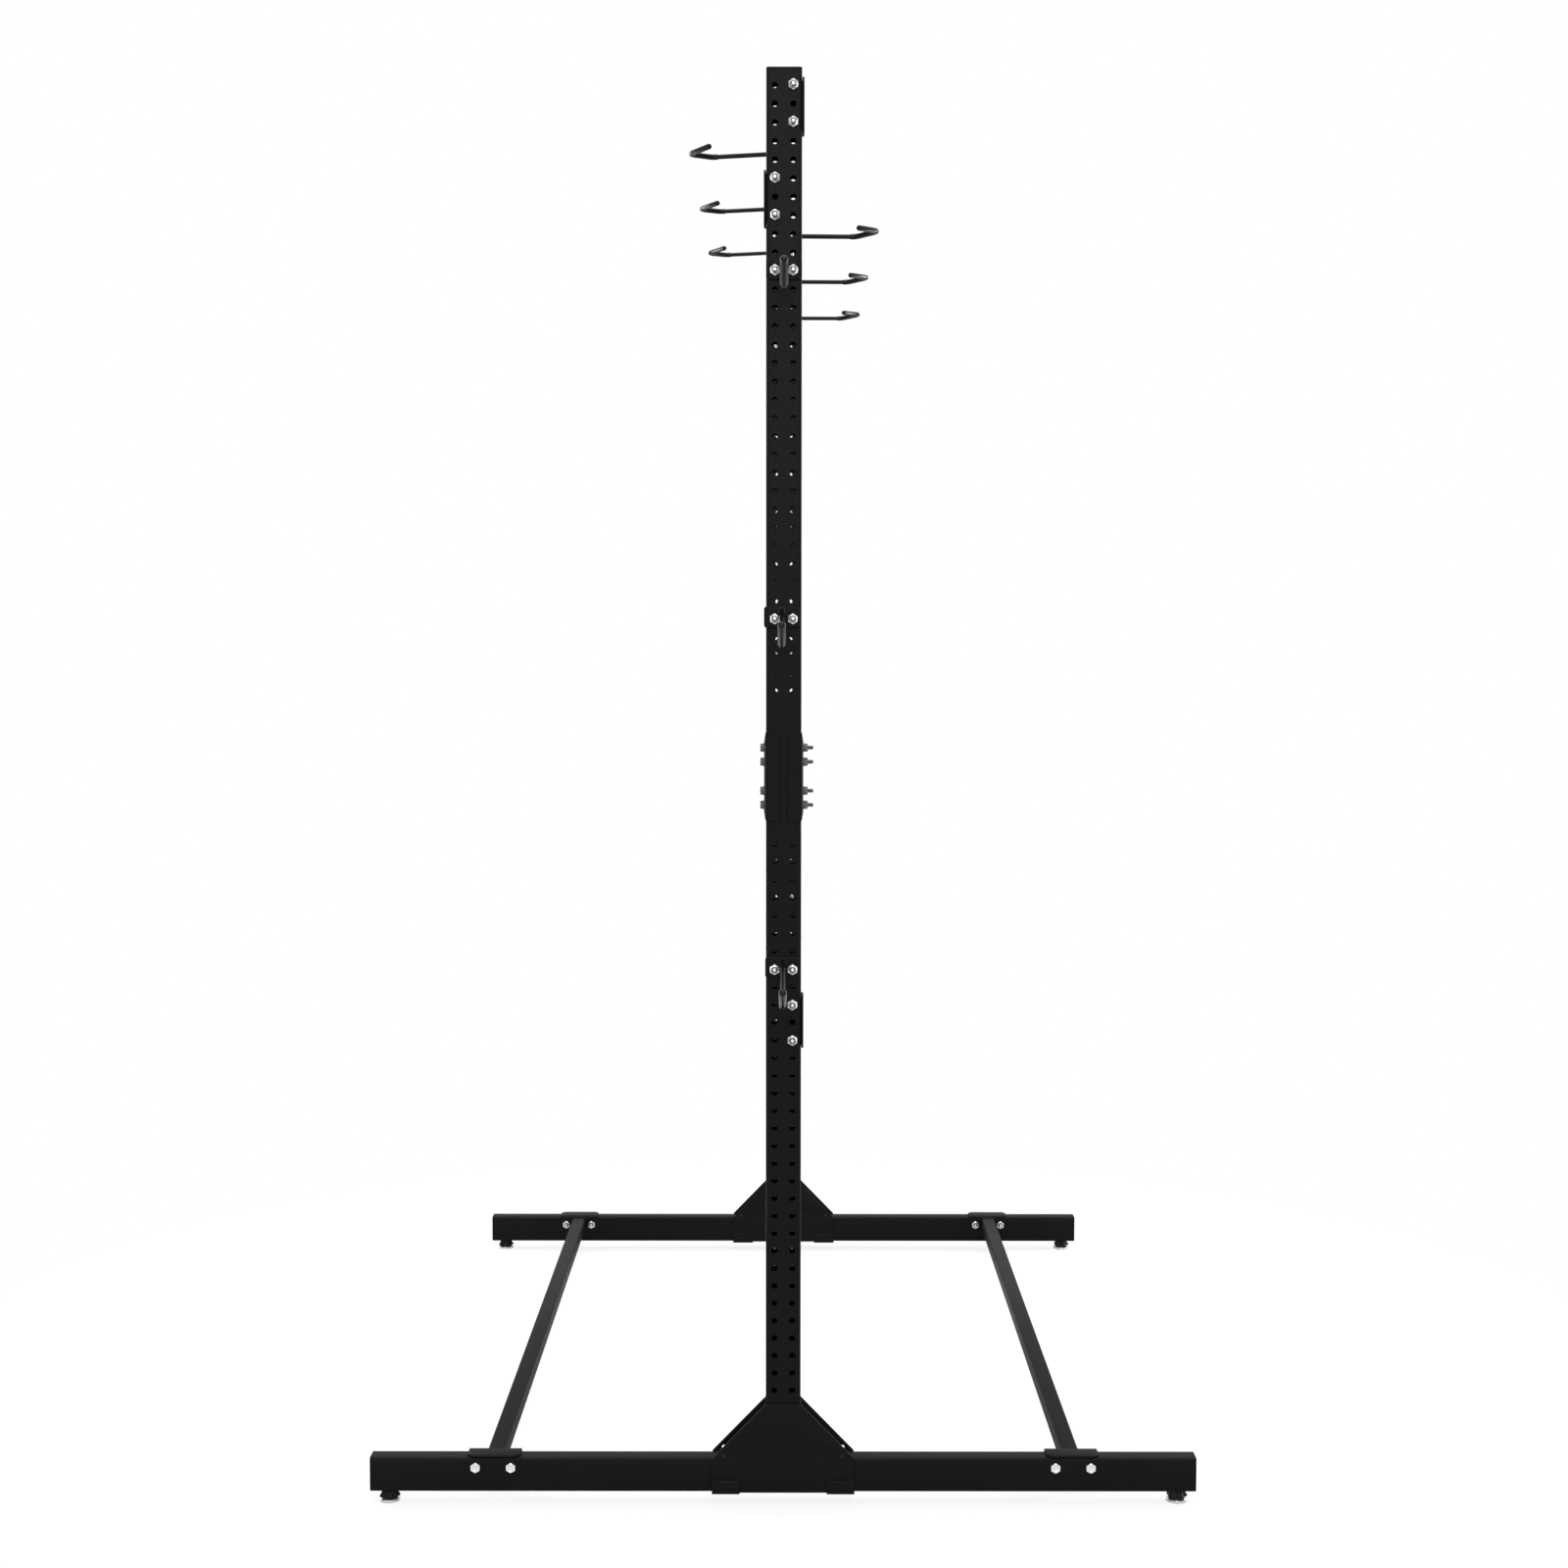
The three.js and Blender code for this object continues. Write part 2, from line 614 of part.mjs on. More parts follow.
function placeGear(mesh, seat) {
	mesh.position.set(seat.shift, frontLine, seat.height);
	return mesh;
}

function gearHook(name, seat) {
	const outline = roundedBox(gearPlateWide, gearPlateHigh, gearPlateCorner, 0, gearPlateRaise);
	let plate = prism(outline, 'y', gearFace, gearFace + gearPlate);
	for (const column of [columnLeft, columnRight]) {
		const slot = plainBox(holeWidth + 2 * gearPlatePlay, holeWidth, column);
		plate = plate.subtract(prism(slot, 'y', gearFace - cutOverrun, gearFace + gearPlate + cutOverrun));
	}
	const rod = wire(new WirePath(gearCorners, [gearBendRadius], 3), gearRod / 2);
	return placeGear(meshOf(name, plate.add(rod), powderBlack), seat);
}

function gearSleeve(name, seat) {
	const bore = gearRod / 2 + 2 * seatGap;
	const from = beyond(gearCorners[2], gearCorners[1], -gearSleeveStart);
	const boreFrom = beyond(gearCorners[2], gearCorners[1], -gearSleeveStart + cutOverrun);
	const tip = beyond(gearCorners[1], gearCorners[2], gearSleeveCap);
	const boreTip = beyond(gearCorners[1], gearCorners[2], seatGap);
	const skin = wire(new WirePath([from, tip], [], 1), bore + gearSleeveWall);
	const hollow = wire(new WirePath([boreFrom, boreTip], [], 1), bore);
	return placeGear(meshOf(name, skin.subtract(hollow), sleeveBlack), seat);
}

// Levellers
function levellerPad(name, x, line) {
	const profile = [
		new THREE.Vector2(0, 0),
		new THREE.Vector2(padRadius, 0),
		new THREE.Vector2(padRadius, padRim),
		new THREE.Vector2(padShoulder, padHigh),
		new THREE.Vector2(studRadius + 2 * seatGap, padHigh),
		new THREE.Vector2(studRadius + 2 * seatGap, padFloor),
		new THREE.Vector2(0, padFloor),
	];
	const pad = new THREE.LatheGeometry(profile, 16).rotateX(Math.PI / 2);
	const mesh = meshOf(name, solidOf(pad), zincBright);
	mesh.position.set(x, line, 0);
	return mesh;
}

// The knob's lobes swell from its top to its base; the stud runs up through the foot tube
function levellerKnob(name, x, line) {
	const sides = 4 * knobLobes;
	const rings = [];
	for (const [radius, height] of [[knobTopRadius, knobTop], [knobBaseRadius, knobBottom]]) {
		for (let i = 0; i < sides; i++) {
			const turn = (i / sides) * Math.PI * 2;
			const reach = radius * (1 + knobLobeShare * Math.cos(knobLobes * turn));
			rings.push(reach * Math.cos(turn), reach * Math.sin(turn), height);
		}
	}
	const faces = [];
	for (let i = 0; i < sides; i++) {
		const next = (i + 1) % sides;
		faces.push(sides + i, next, i, sides + i, sides + next, next);
		if (i > 0 && next > 0) faces.push(0, i, next, sides, sides + next, sides + i);
	}
	const vertProperties = new Float32Array(rings);
	const triVerts = new Uint32Array(faces);
	const grip = new wasm.Manifold(new wasm.Mesh({ numProp: 3, vertProperties, triVerts }));
	const stud = prism(cornerSided(8, studRadius), 'z', padFloor + seatGap, knobTop + studHigh);
	const mesh = meshOf(name, grip.add(stud), plasticBlack);
	mesh.position.set(x, line, 0);
	return mesh;
}

// Rail bolts, each with its nut run home: the head is inside the rail's flange, the nut outside the upright
function railBolt(name, seat, end, step) {
	const inner = end * (frameSpacing / 2 - tubeDeep / 2 - seatGap - railPlate - seatGap);
	const outer = end * (frameSpacing / 2 + tubeDeep / 2 + seatGap);
	const z = seat.height + (step * railBoltSpacing) / 2;
	const between = (a, b) => [Math.min(a, b), Math.max(a, b)];
	const hexagon = flatSided(6, m8Flats / 2, seat.column, z);
	const head = prism(hexagon, 'y', ...between(inner - end * m8Head, inner));
	const nut = prism(hexagon, 'y', ...between(outer, outer + end * m8Nut));
	const ends = between(inner - (end * m8Head) / 2, inner + end * railBoltLength);
	const shank = prism(cornerSided(8, m8Radius, seat.column, z), 'y', ...ends);
	return meshOf(name, head.add(shank).add(nut), zincBright);
}

// The stand, put together frame by frame
const stand = new THREE.Group();
for (const [end, line] of [['front', frontLine], ['rear', rearLine]]) {
	stand.add(footTube(`foot_tube_${end}`, line));
	stand.add(lowerUpright(`upright_lower_${end}`, line));
	stand.add(upperUpright(`upright_upper_${end}`, line));
	stand.add(uprightCap(`upright_cap_${end}`, line));
	for (const [hand, side] of [['left', -1], ['right', 1]]) {
		stand.add(spliceShell(`splice_shell_${end}_${hand}`, line, side));
		stand.add(footCap(`foot_cap_${end}_${hand}`, line, side));
		stand.add(levellerPad(`leveller_pad_${end}_${hand}`, side * levellerAcross, line));
		stand.add(levellerKnob(`leveller_knob_${end}_${hand}`, side * levellerAcross, line));
	}
}
stand.add(floorBar('floor_bar_left', -1));
stand.add(floorBar('floor_bar_right', 1));
stand.add(rail('rail_top', railSeats.top, hookAlong));
stand.add(rail('rail_middle', railSeats.middle, hookAlong));
stand.add(rail('rail_lower', railSeats.lower, []));
for (const [level, seat] of Object.entries(railSeats)) {
	for (const [end, toward] of [['front', -1], ['rear', 1]]) {
		for (const [place, step] of [['low', -1], ['high', 1]]) {
			stand.add(railBolt(`rail_bolt_${level}_${end}_${place}`, seat, toward, step));
		}
	}
}
for (const [hand, side, seat] of [['left', -1, railSeats.top], ['right', 1, railSeats.middle]]) {
	hookAlong.forEach((y, i) => {
		stand.add(bikeHook(`bike_hook_${hand}_${i + 1}`, side, seat, y));
		stand.add(hookSleeve(`hook_sleeve_${hand}_${i + 1}`, side, seat, y));
	});
}
gearSeats.forEach((seat, i) => {
	stand.add(gearHook(`gear_hook_${i + 1}`, seat));
	stand.add(gearSleeve(`gear_sleeve_${i + 1}`, seat));
});

// The gear hooks reach out at the front only, so the stand is set back to centre it on its origin
const reach = new THREE.Box3().setFromObject(stand);
stand.position.y = -(reach.min.y + reach.max.y) / 2;
const rack = new THREE.Group();
rack.add(stand);

export default rack;
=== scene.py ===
import bmesh
import bpy
import numpy as np
from mathutils import Euler, Matrix, Vector
from mathutils.geometry import tessellate_polygon


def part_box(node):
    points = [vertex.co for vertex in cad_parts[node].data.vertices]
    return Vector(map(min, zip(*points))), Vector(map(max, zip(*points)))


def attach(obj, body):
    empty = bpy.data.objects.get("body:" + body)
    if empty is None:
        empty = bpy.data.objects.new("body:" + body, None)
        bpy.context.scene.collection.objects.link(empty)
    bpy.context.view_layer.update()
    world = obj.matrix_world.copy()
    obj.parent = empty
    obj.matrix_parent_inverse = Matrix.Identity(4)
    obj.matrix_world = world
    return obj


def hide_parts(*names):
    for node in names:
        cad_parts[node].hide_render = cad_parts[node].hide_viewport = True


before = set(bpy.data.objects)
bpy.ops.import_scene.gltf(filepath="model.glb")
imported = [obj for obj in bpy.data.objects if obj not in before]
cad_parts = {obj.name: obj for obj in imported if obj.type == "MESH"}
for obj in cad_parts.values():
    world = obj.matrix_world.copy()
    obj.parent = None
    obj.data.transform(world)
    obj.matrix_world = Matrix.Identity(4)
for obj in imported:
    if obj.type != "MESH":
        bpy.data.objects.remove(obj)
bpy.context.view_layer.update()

# Studio
# A pale floor, a white surround and soft boxes overhead, to the sides and over the camera. The camera stands
# straight in front of the stand at chest height and looks down a little, as the photograph does.
LENS = 50.75  # millimetres, on the sensor below
SENSOR = 36.0
SEEN_BETWEEN = (0.1, 200.0)  # metres from the camera
EYE = (0.0005, -3.7221, 1.2346)
PITCH_DOWN = 0.0630
ROLL = 0.0008
SURROUND_LOW = (0.62, 0.62, 0.62, 1.0)
SURROUND_HIGH = (0.80, 0.80, 0.80, 1.0)
SURROUND_RISE = (-0.4, 0.35)  # how steeply the eye looks, from the lower tone to the upper one
WHITE = (1.0, 1.0, 1.0, 1.0)
FLOOR_HALF = 40.0
FLOOR_DROP = 0.0005  # below the pads
FLOOR_GREY = (0.55, 0.55, 0.55, 1.0)  # what the stand sees of the floor
FLOOR_PALE = (0.9, 0.9, 0.9, 1.0)  # what the camera sees where shadows fall
FLOOR_FADE = (0.8, 1.6)  # metres from the middle between which the shadows fade
FLOOR_GLOW = (0.80, 1.0)  # share of plain white near the stand, and away from it
SOFT_BOXES = [
    # name, place, aimed at, width, height, watts
    ("overhead", (0.0, -0.4, 4.4), (0.0, 0.0, 0.0), 3.0, 3.4, 90.0),
    ("behind_camera", (0.0, -5.2, 3.1), (0.0, -0.6, 1.6), 2.4, 2.0, 90.0),
    ("left_strip", (-2.4, 1.0, 1.5), (0.0, -0.6, 1.3), 0.4, 3.0, 60.0),
    ("right_strip", (2.4, 1.0, 1.5), (0.0, -0.6, 1.3), 0.4, 3.0, 60.0),
]


def placed(name, data):
    """A new object in the scene."""
    made = bpy.data.objects.new(name, data)
    bpy.context.scene.collection.objects.link(made)
    return made


camera = placed("camera", bpy.data.cameras.new("camera"))
camera.data.lens = LENS
camera.data.sensor_width = SENSOR
camera.data.clip_start, camera.data.clip_end = SEEN_BETWEEN
tilt = Euler((np.pi / 2 - PITCH_DOWN, 0.0, 0.0)).to_matrix() @ Matrix.Rotation(ROLL, 3, "Z")
camera.matrix_world = Matrix.Translation(EYE) @ tilt.to_4x4()
bpy.context.scene.camera = camera
bpy.context.scene.view_settings.view_transform = "Standard"

for name, place, target, width, height, watts in SOFT_BOXES:
    light = bpy.data.lights.new(name, "AREA")
    light.shape = "RECTANGLE"
    light.size = width
    light.size_y = height
    light.energy = watts
    holder = placed(name, light)
    aim = (Vector(target) - Vector(place)).to_track_quat("-Z", "Y")
    holder.matrix_world = Matrix.Translation(place) @ aim.to_matrix().to_4x4()
    holder.visible_camera = False


class Finish:
    """A node tree being mixed; node() adds any node, sets it, feeds it and gives one of its outputs."""

    def __init__(self, tree):
        self.tree = tree

    def feed(self, socket, value):
        if isinstance(value, bpy.types.NodeSocket):
            self.tree.links.new(value, socket)
        else:
            socket.default_value = value

    def node(self, kind, settings, inputs, output=0):
        made = self.tree.nodes.new(kind)
        for key, value in settings.items():
            setattr(made, key, value)
        for key, value in inputs.items():
            self.feed(made.inputs[key], value)
        return made.outputs[output]

    def object_place(self):
        """Where a point lies on the object, in metres."""
        return self.node("ShaderNodeTexCoord", {}, {}, "Object")

    def noise(self, scale, detail=2.0, roughness=0.5):
        """Cloudy noise from 0 to 1, with about this many blobs to a metre."""
        sockets = {"Vector": self.object_place(), "Scale": scale, "Detail": detail, "Roughness": roughness}
        return self.node("ShaderNodeTexNoise", {}, sockets)

    def scaled(self, value, factor, base):
        """The value times the factor, and the base added."""
        return self.node("ShaderNodeMath", {"operation": "MULTIPLY_ADD"}, {0: value, 1: factor, 2: base})

    def blend(self, share, first, second):
        """A colour that goes from the first to the second with the share."""
        return self.node("ShaderNodeMix", {"data_type": "RGBA"}, {0: share, 6: first, 7: second}, 2)

    def bump(self, height, distance, strength):
        """A relief as deep as the distance, in metres."""
        sockets = {"Height": height, "Distance": distance, "Strength": strength}
        return self.node("ShaderNodeBump", {}, sockets, "Normal")


def painted(name, **sockets):
    """A new material whose surface is one Principled shader; gives the material, its mixer and its shader."""
    material = bpy.data.materials.new(name)
    material.use_nodes = True
    mixer = Finish(material.node_tree)
    shader = material.node_tree.nodes["Principled BSDF"]
    for key, value in sockets.items():
        shader.inputs[key.replace("_", " ")].default_value = value
    return material, mixer, shader


surround = bpy.data.worlds.new("surround")
surround.use_nodes = True
bpy.context.scene.world = surround
sky = Finish(surround.node_tree)
seen_by_camera = sky.node("ShaderNodeLightPath", {}, {}, "Is Camera Ray")
way_out = sky.node("ShaderNodeTexCoord", {}, {}, "Generated")
upward = sky.node("ShaderNodeSeparateXYZ", {}, {"Vector": way_out}, "Z")
rise = {"Value": upward, "From Min": SURROUND_RISE[0], "From Max": SURROUND_RISE[1]}
share = sky.node("ShaderNodeMapRange", {}, rise)
graded = sky.blend(share, SURROUND_LOW, SURROUND_HIGH)
dim = sky.node("ShaderNodeBackground", {}, {"Color": graded})
white = sky.node("ShaderNodeBackground", {}, {"Color": WHITE})
both = sky.node("ShaderNodeMixShader", {}, {0: seen_by_camera, 1: dim, 2: white})
sky.feed(surround.node_tree.nodes["World Output"].inputs["Surface"], both)

corners = np.array([[-1, -1], [1, -1], [1, 1], [-1, 1]]) * FLOOR_HALF
floor_mesh = bpy.data.meshes.new("floor")
floor_mesh.from_pydata([(x, y, -FLOOR_DROP) for x, y in corners], [], [(0, 1, 2, 3)])
floor = placed("floor", floor_mesh)
floor_paint, on_floor, floor_shader = painted("floor_paint", Base_Color=FLOOR_GREY, Roughness=0.9,
                                              Specular_IOR_Level=0.0)
away = on_floor.node("ShaderNodeVectorMath", {"operation": "LENGTH"}, {0: on_floor.object_place()}, "Value")
fade = {"Value": away, "From Min": FLOOR_FADE[0], "From Max": FLOOR_FADE[1],
        "To Min": FLOOR_GLOW[0], "To Max": FLOOR_GLOW[1]}
faded = on_floor.node("ShaderNodeMapRange", {"interpolation_type": "SMOOTHSTEP"}, fade)
pale = on_floor.node("ShaderNodeBsdfDiffuse", {}, {"Color": FLOOR_PALE})
glow = on_floor.node("ShaderNodeEmission", {}, {"Color": WHITE, "Strength": 1.0})
bright = on_floor.node("ShaderNodeMixShader", {}, {0: faded, 1: pale, 2: glow})
camera_ray = on_floor.node("ShaderNodeLightPath", {}, {}, "Is Camera Ray")
seen = on_floor.node("ShaderNodeMixShader", {}, {0: camera_ray, 1: floor_shader.outputs[0], 2: bright})
on_floor.feed(floor_paint.node_tree.nodes["Material Output"].inputs["Surface"], seen)
floor_mesh.materials.append(floor_paint)

# Feet
# Two steel tubes, 50 x 30 mm, laid on edge. Each is cut from drawn tube, drilled underneath for its two
# levellers, powder coated black, and closed at both ends with a pushed-in plastic cap.
TUBE_WALL = 2.0
TUBE_CORNER = 4.0
CLEAR = 0.3  # between pieces that are pushed or bolted together
CAP_PLUG = 10.0
CAP_ROUND = 1.7  # the flange's moulded edge
PLUG_CORNER = 1.5
PLUG_OVERLAP = 0.5  # how far a cap's plug runs on into its flange
LEVELLER_INSET = 23.6  # from the tube's end
STUD_HOLE = 5.7
DRILL_EDGE = 0.35
SHARP = 34.0  # degrees
SAME_POINT = 2e-6  # metres between points that are welded
ENDS = (("front", -1), ("rear", 1))
HANDS = (("left", -1), ("right", 1))


def extent(node):
    """Lowest corner, highest corner and middle of a CAD node, in millimetres."""
    low, high = [np.array(corner) * 1000 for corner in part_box(node)]
    return low, high, (low + high) / 2


def face_y(node, way):
    """Where a CAD node's face towards the front (-1) or the rear (1) lies, in millimetres."""
    return extent(node)[way > 0][1]


def unit(vectors):
    """Each vector divided by its length."""
    return vectors / np.linalg.norm(vectors, axis=-1, keepdims=True)


def woven(grid, closed=False):
    """Quads over rings of points, (rings, points, 3); where closed, the last ring meets the first."""
    index = np.arange(grid.shape[0] * grid.shape[1]).reshape(grid.shape[:2])
    if closed:
        index = np.concatenate([index, index[:1]])
    index = np.concatenate([index, index[:, :1]], 1)
    quads = np.stack([index[:-1, :-1], index[:-1, 1:], index[1:, 1:], index[1:, :-1]], -1)
    return grid.reshape(-1, 3), [quads.reshape(-1, 4)]


def joined(*shapes):
    """Several shapes, each its points and its groups of faces, as one shape."""
    counts = np.cumsum([0] + [len(points) for points, _ in shapes])
    faces = [group + start for (_, groups), start in zip(shapes, counts) for group in groups]
    return np.concatenate([points for points, _ in shapes]), faces


def turned(shape, axes=(0, 1, 2), offset=(0.0, 0.0, 0.0)):
    """A shape with its coordinates put in another order and then moved."""
    points, faces = shape
    return points[:, list(axes)] + offset, faces


def rounded(outline, radii, steps=4):
    """A closed outline: at each corner an arc of the given radius that touches both sides, drawn as
    start + into r sin a + left r (1 - cos a) while a runs up to the angle by which the outline turns."""
    outline = np.asarray(outline, float)
    radius = np.broadcast_to(np.asarray(radii, float), len(outline))[:, None]
    into = unit(outline - np.roll(outline, 1, 0))
    out = unit(np.roll(outline, -1, 0) - outline)
    left = np.stack([-into[:, 1], into[:, 0]], 1)
    turn = np.arctan2((left * out).sum(1), (into * out).sum(1))[:, None]
    start = outline - into * radius * np.tan(abs(turn) / 2)
    angle = turn * np.linspace(0, 1, steps + 1)
    ahead = radius * np.sin(abs(angle))
    aside = radius * (1 - np.cos(angle)) * np.sign(turn)
    points = start[:, None] + into[:, None] * ahead[..., None] + left[:, None] * aside[..., None]
    return points.reshape(-1, 2)


def box_outline(wide, high, radius, middle=(0.0, 0.0), steps=4):
    """A rectangle with round corners, drawn anticlockwise."""
    corner = np.array([[-1, -1], [1, -1], [1, 1], [-1, 1]]) * np.array([wide, high]) / 2
    return rounded(corner + middle, radius, steps)


def filled(loops):
    """A solid from stacks of rings, (rings, points, 3), one for the outline and one for each hole:
    quads up every stack, and flat faces across all first rings and all last ones."""
    sides = joined(*[woven(loop) for loop in loops])
    starts = np.cumsum([0] + [loop.shape[0] * loop.shape[1] for loop in loops])[:-1]
    faces = list(sides[1])
    for ring in (0, -1):
        flat = [[Vector(point) for point in loop[ring]] for loop in loops]
        number = [start + np.arange(loop.shape[1]) + (ring % loop.shape[0]) * loop.shape[1]
                  for start, loop in zip(starts, loops)]
        faces.append(np.concatenate(number)[np.array(tessellate_polygon(flat))])
    return sides[0], faces


def outward(loop):
    """At each point of an anticlockwise outline, a unit vector out of it."""
    ahead = np.roll(loop, -1, 0) - np.roll(loop, 1, 0)
    return unit(np.stack([ahead[:, 1], -ahead[:, 0]], 1))


def slab(outline, low, high, edge, holes=(), steps=2):
    """A flat solid: the outline and its holes carried from low to high, with every rim rounded. A rim's
    rings step in by edge (1 - sin t) and rise by edge (1 - cos t) while t runs over a quarter turn."""
    turn = np.linspace(0, np.pi / 2, steps + 1)
    inset = edge * (1 - np.sin(turn))
    rise = edge * (1 - np.cos(turn))
    inset = np.concatenate([inset, inset[::-1]])
    level = np.concatenate([low + rise, (high - rise)[::-1]])
    stacks = []
    for loop in (outline, *holes):
        rings = loop - outward(loop) * inset[:, None, None]
        heights = np.broadcast_to(level[:, None, None], (len(level), len(loop), 1))
        stacks.append(np.concatenate([rings, heights], 2))
    return filled(stacks)


def tube_section(half_u, half_v, corner, lines):
    """A tube's closed section: the given lines across the near face, and then each corner's arc and each
    face in turn."""
    turn = np.linspace(0, np.pi / 2, 5)
    sine, cosine = corner * np.sin(turn), corner * np.cos(turn)
    u, v = half_u - corner, half_v - corner
    near = np.stack([lines[:-1], np.full(len(lines) - 1, -half_v)], 1)
    far = np.stack([lines[-2:0:-1], np.full(len(lines) - 2, half_v)], 1)
    right_near = np.stack([u + sine, -v - cosine], 1)
    right_far = np.stack([u + cosine, v + sine], 1)
    left_far = np.stack([-u - sine, v + cosine], 1)
    left_near = np.stack([-u - cosine, -v - sine], 1)[:-1]
    return np.concatenate([near, right_near, right_far, far, left_far, left_near])


def drilled_tube(half_u, half_v, stations, lines, drills, radius):
    """A rectangular tube along w, with section (u, v). Its near and far walls are a net of lines and
    stations. Each drill (station, section point, u, w) takes four by four meshes of the net out and puts in
    a patch that runs from their border to a round hole, through the wall and back to the border inside."""
    outer = tube_section(half_u, half_v, TUBE_CORNER, lines)
    inner = tube_section(half_u - TUBE_WALL, half_v - TUBE_WALL, TUBE_CORNER - TUBE_WALL, lines)
    drills = np.array(drills, float).reshape(-1, 4)
    row, column = drills[:, 0].astype(int), drills[:, 1].astype(int)
    keep = np.ones((len(stations) - 1, len(outer)), bool)
    step = np.arange(4)
    keep[row[:, None, None] + step[:, None], column[:, None, None] + step] = False
    shapes = []
    for section in (outer, inner):
        wide = np.broadcast_to(section, (len(stations), len(section), 2))
        along = np.broadcast_to(stations[:, None, None], (len(stations), len(section), 1))
        points, (quads,) = woven(np.concatenate([wide, along], 2))
        shapes.append((points, [quads[keep.ravel()]]))
    for station in (stations[0], stations[-1]):
        rim = np.stack([outer, inner])
        shapes.append(woven(np.dstack([rim, np.full(rim.shape[:2], station)])))
    share = np.arange(4) / 4
    border = np.concatenate([
        np.stack([share, 0 * share], 1), np.stack([1 + 0 * share, share], 1),
        np.stack([1 - share, 1 + 0 * share], 1), np.stack([0 * share, 1 - share], 1),
    ])
    angle = -0.75 * np.pi + np.arange(16) * np.pi / 8  # from the patch's lowest corner, as its border runs
    u0, u1 = outer[column, 0], outer[column + 4, 0]
    w0, w1 = stations[row], stations[row + 4]
    v_out, v_in = outer[column, 1], inner[column, 1]
    border_u = u0[:, None] + (u1 - u0)[:, None] * border[:, 0]
    border_w = w0[:, None] + (w1 - w0)[:, None] * border[:, 1]
    away_u = np.sign(u1 - u0)[:, None] * np.cos(angle)
    away_w = np.broadcast_to(np.sin(angle), away_u.shape)
    rings = []
    for reach, depth in ((None, 0.0), (radius + DRILL_EDGE, 0.0), (radius, DRILL_EDGE), (radius, TUBE_WALL),
                         (None, TUBE_WALL)):
        v = v_out + (v_in - v_out) * depth / TUBE_WALL
        u = border_u if reach is None else drills[:, 2:3] + reach * away_u
        w = border_w if reach is None else drills[:, 3:4] + reach * away_w
        rings.append(np.stack([u, np.broadcast_to(v[:, None], u.shape), w], -1))
    patches = np.stack(rings, 1)
    shapes += [woven(patch) for patch in patches]
    return joined(*shapes)


def pushed_cap(wide, high, seat, face, plug_end, flange_edge, plug_edge):
    """A tube's end cap: a flange as large as the tube, and a plug that goes inside it."""
    flange = slab(box_outline(wide, high, TUBE_CORNER), seat, face, flange_edge, steps=4)
    inside = 2 * (TUBE_WALL + CLEAR)
    outline = box_outline(wide - inside, high - inside, PLUG_CORNER)
    return joined(flange, slab(outline, plug_end, seat + PLUG_OVERLAP, plug_edge))


def piece(name, coats, node=None, body="stand"):
    """One object: the shapes in millimetres, each with its material, welded, faces outward, edges sharper
    than SHARP degrees kept crisp, riding on its body and standing for its CAD node if it has one."""
    points, faces = joined(*[shape for shape, _ in coats])
    mesh = bpy.data.meshes.new(name)
    mesh.from_pydata((points / 1000).tolist(), [], [face for group in faces for face in group.tolist()])
    paints = [index for index, (shape, _) in enumerate(coats) for group in shape[1] for _ in group]
    mesh.polygons.foreach_set("material_index", paints)
    for _, material in coats:
        mesh.materials.append(material)
    shell = bmesh.new()
    shell.from_mesh(mesh)
    bmesh.ops.remove_doubles(shell, verts=shell.verts, dist=SAME_POINT)
    bmesh.ops.recalc_face_normals(shell, faces=shell.faces)
    shell.to_mesh(mesh)
    shell.free()
    mesh.polygons.foreach_set("use_smooth", [True] * len(mesh.polygons))
    mesh.set_sharp_from_angle(angle=np.radians(SHARP))
    made = placed(name, mesh)
    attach(made, body)
    if node:
        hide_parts(node)


def finished(name, cloud, dark, pale, rough, relief, grain=None, peel=0.0, **sockets):
    """A finish: its tone goes from dark to pale with a cloud noise, its roughness is a base and a share of
    that noise (and a share, peel, of the finer grain), and the grain, or the cloud, raises its relief."""
    material, mixer, shader = painted(name, **sockets)
    cloud = mixer.noise(*cloud)
    grain = mixer.noise(*grain) if grain else cloud
    roughness = mixer.scaled(grain, peel, mixer.scaled(cloud, rough[1], rough[0]))
    mixer.feed(shader.inputs["Base Color"], mixer.blend(cloud, (*dark, 1.0), (*pale, 1.0)))
    mixer.feed(shader.inputs["Roughness"], roughness)
    mixer.feed(shader.inputs["Normal"], mixer.bump(grain, *relief))
    return material


# Black powder coat: satin, a little cloudy, with the fine orange peel that baked powder leaves
coat = finished("powder_coat", (7.0, 3.0), (0.0026, 0.0027, 0.0029), (0.0048, 0.0049, 0.0052), (0.42, 0.10),
                (0.00007, 0.7), (430.0, 2.0, 0.55), 0.10, Specular_IOR_Level=0.10)
# Black injection-moulded plastic with a fine spark-eroded grain
plastic = finished("moulded_plastic", (60.0,), (0.0035, 0.0035, 0.0036), (0.0060, 0.0060, 0.0061),
                   (0.46, 0.14), (0.00004, 0.6), (1400.0, 2.0, 0.6), Specular_IOR_Level=0.14)

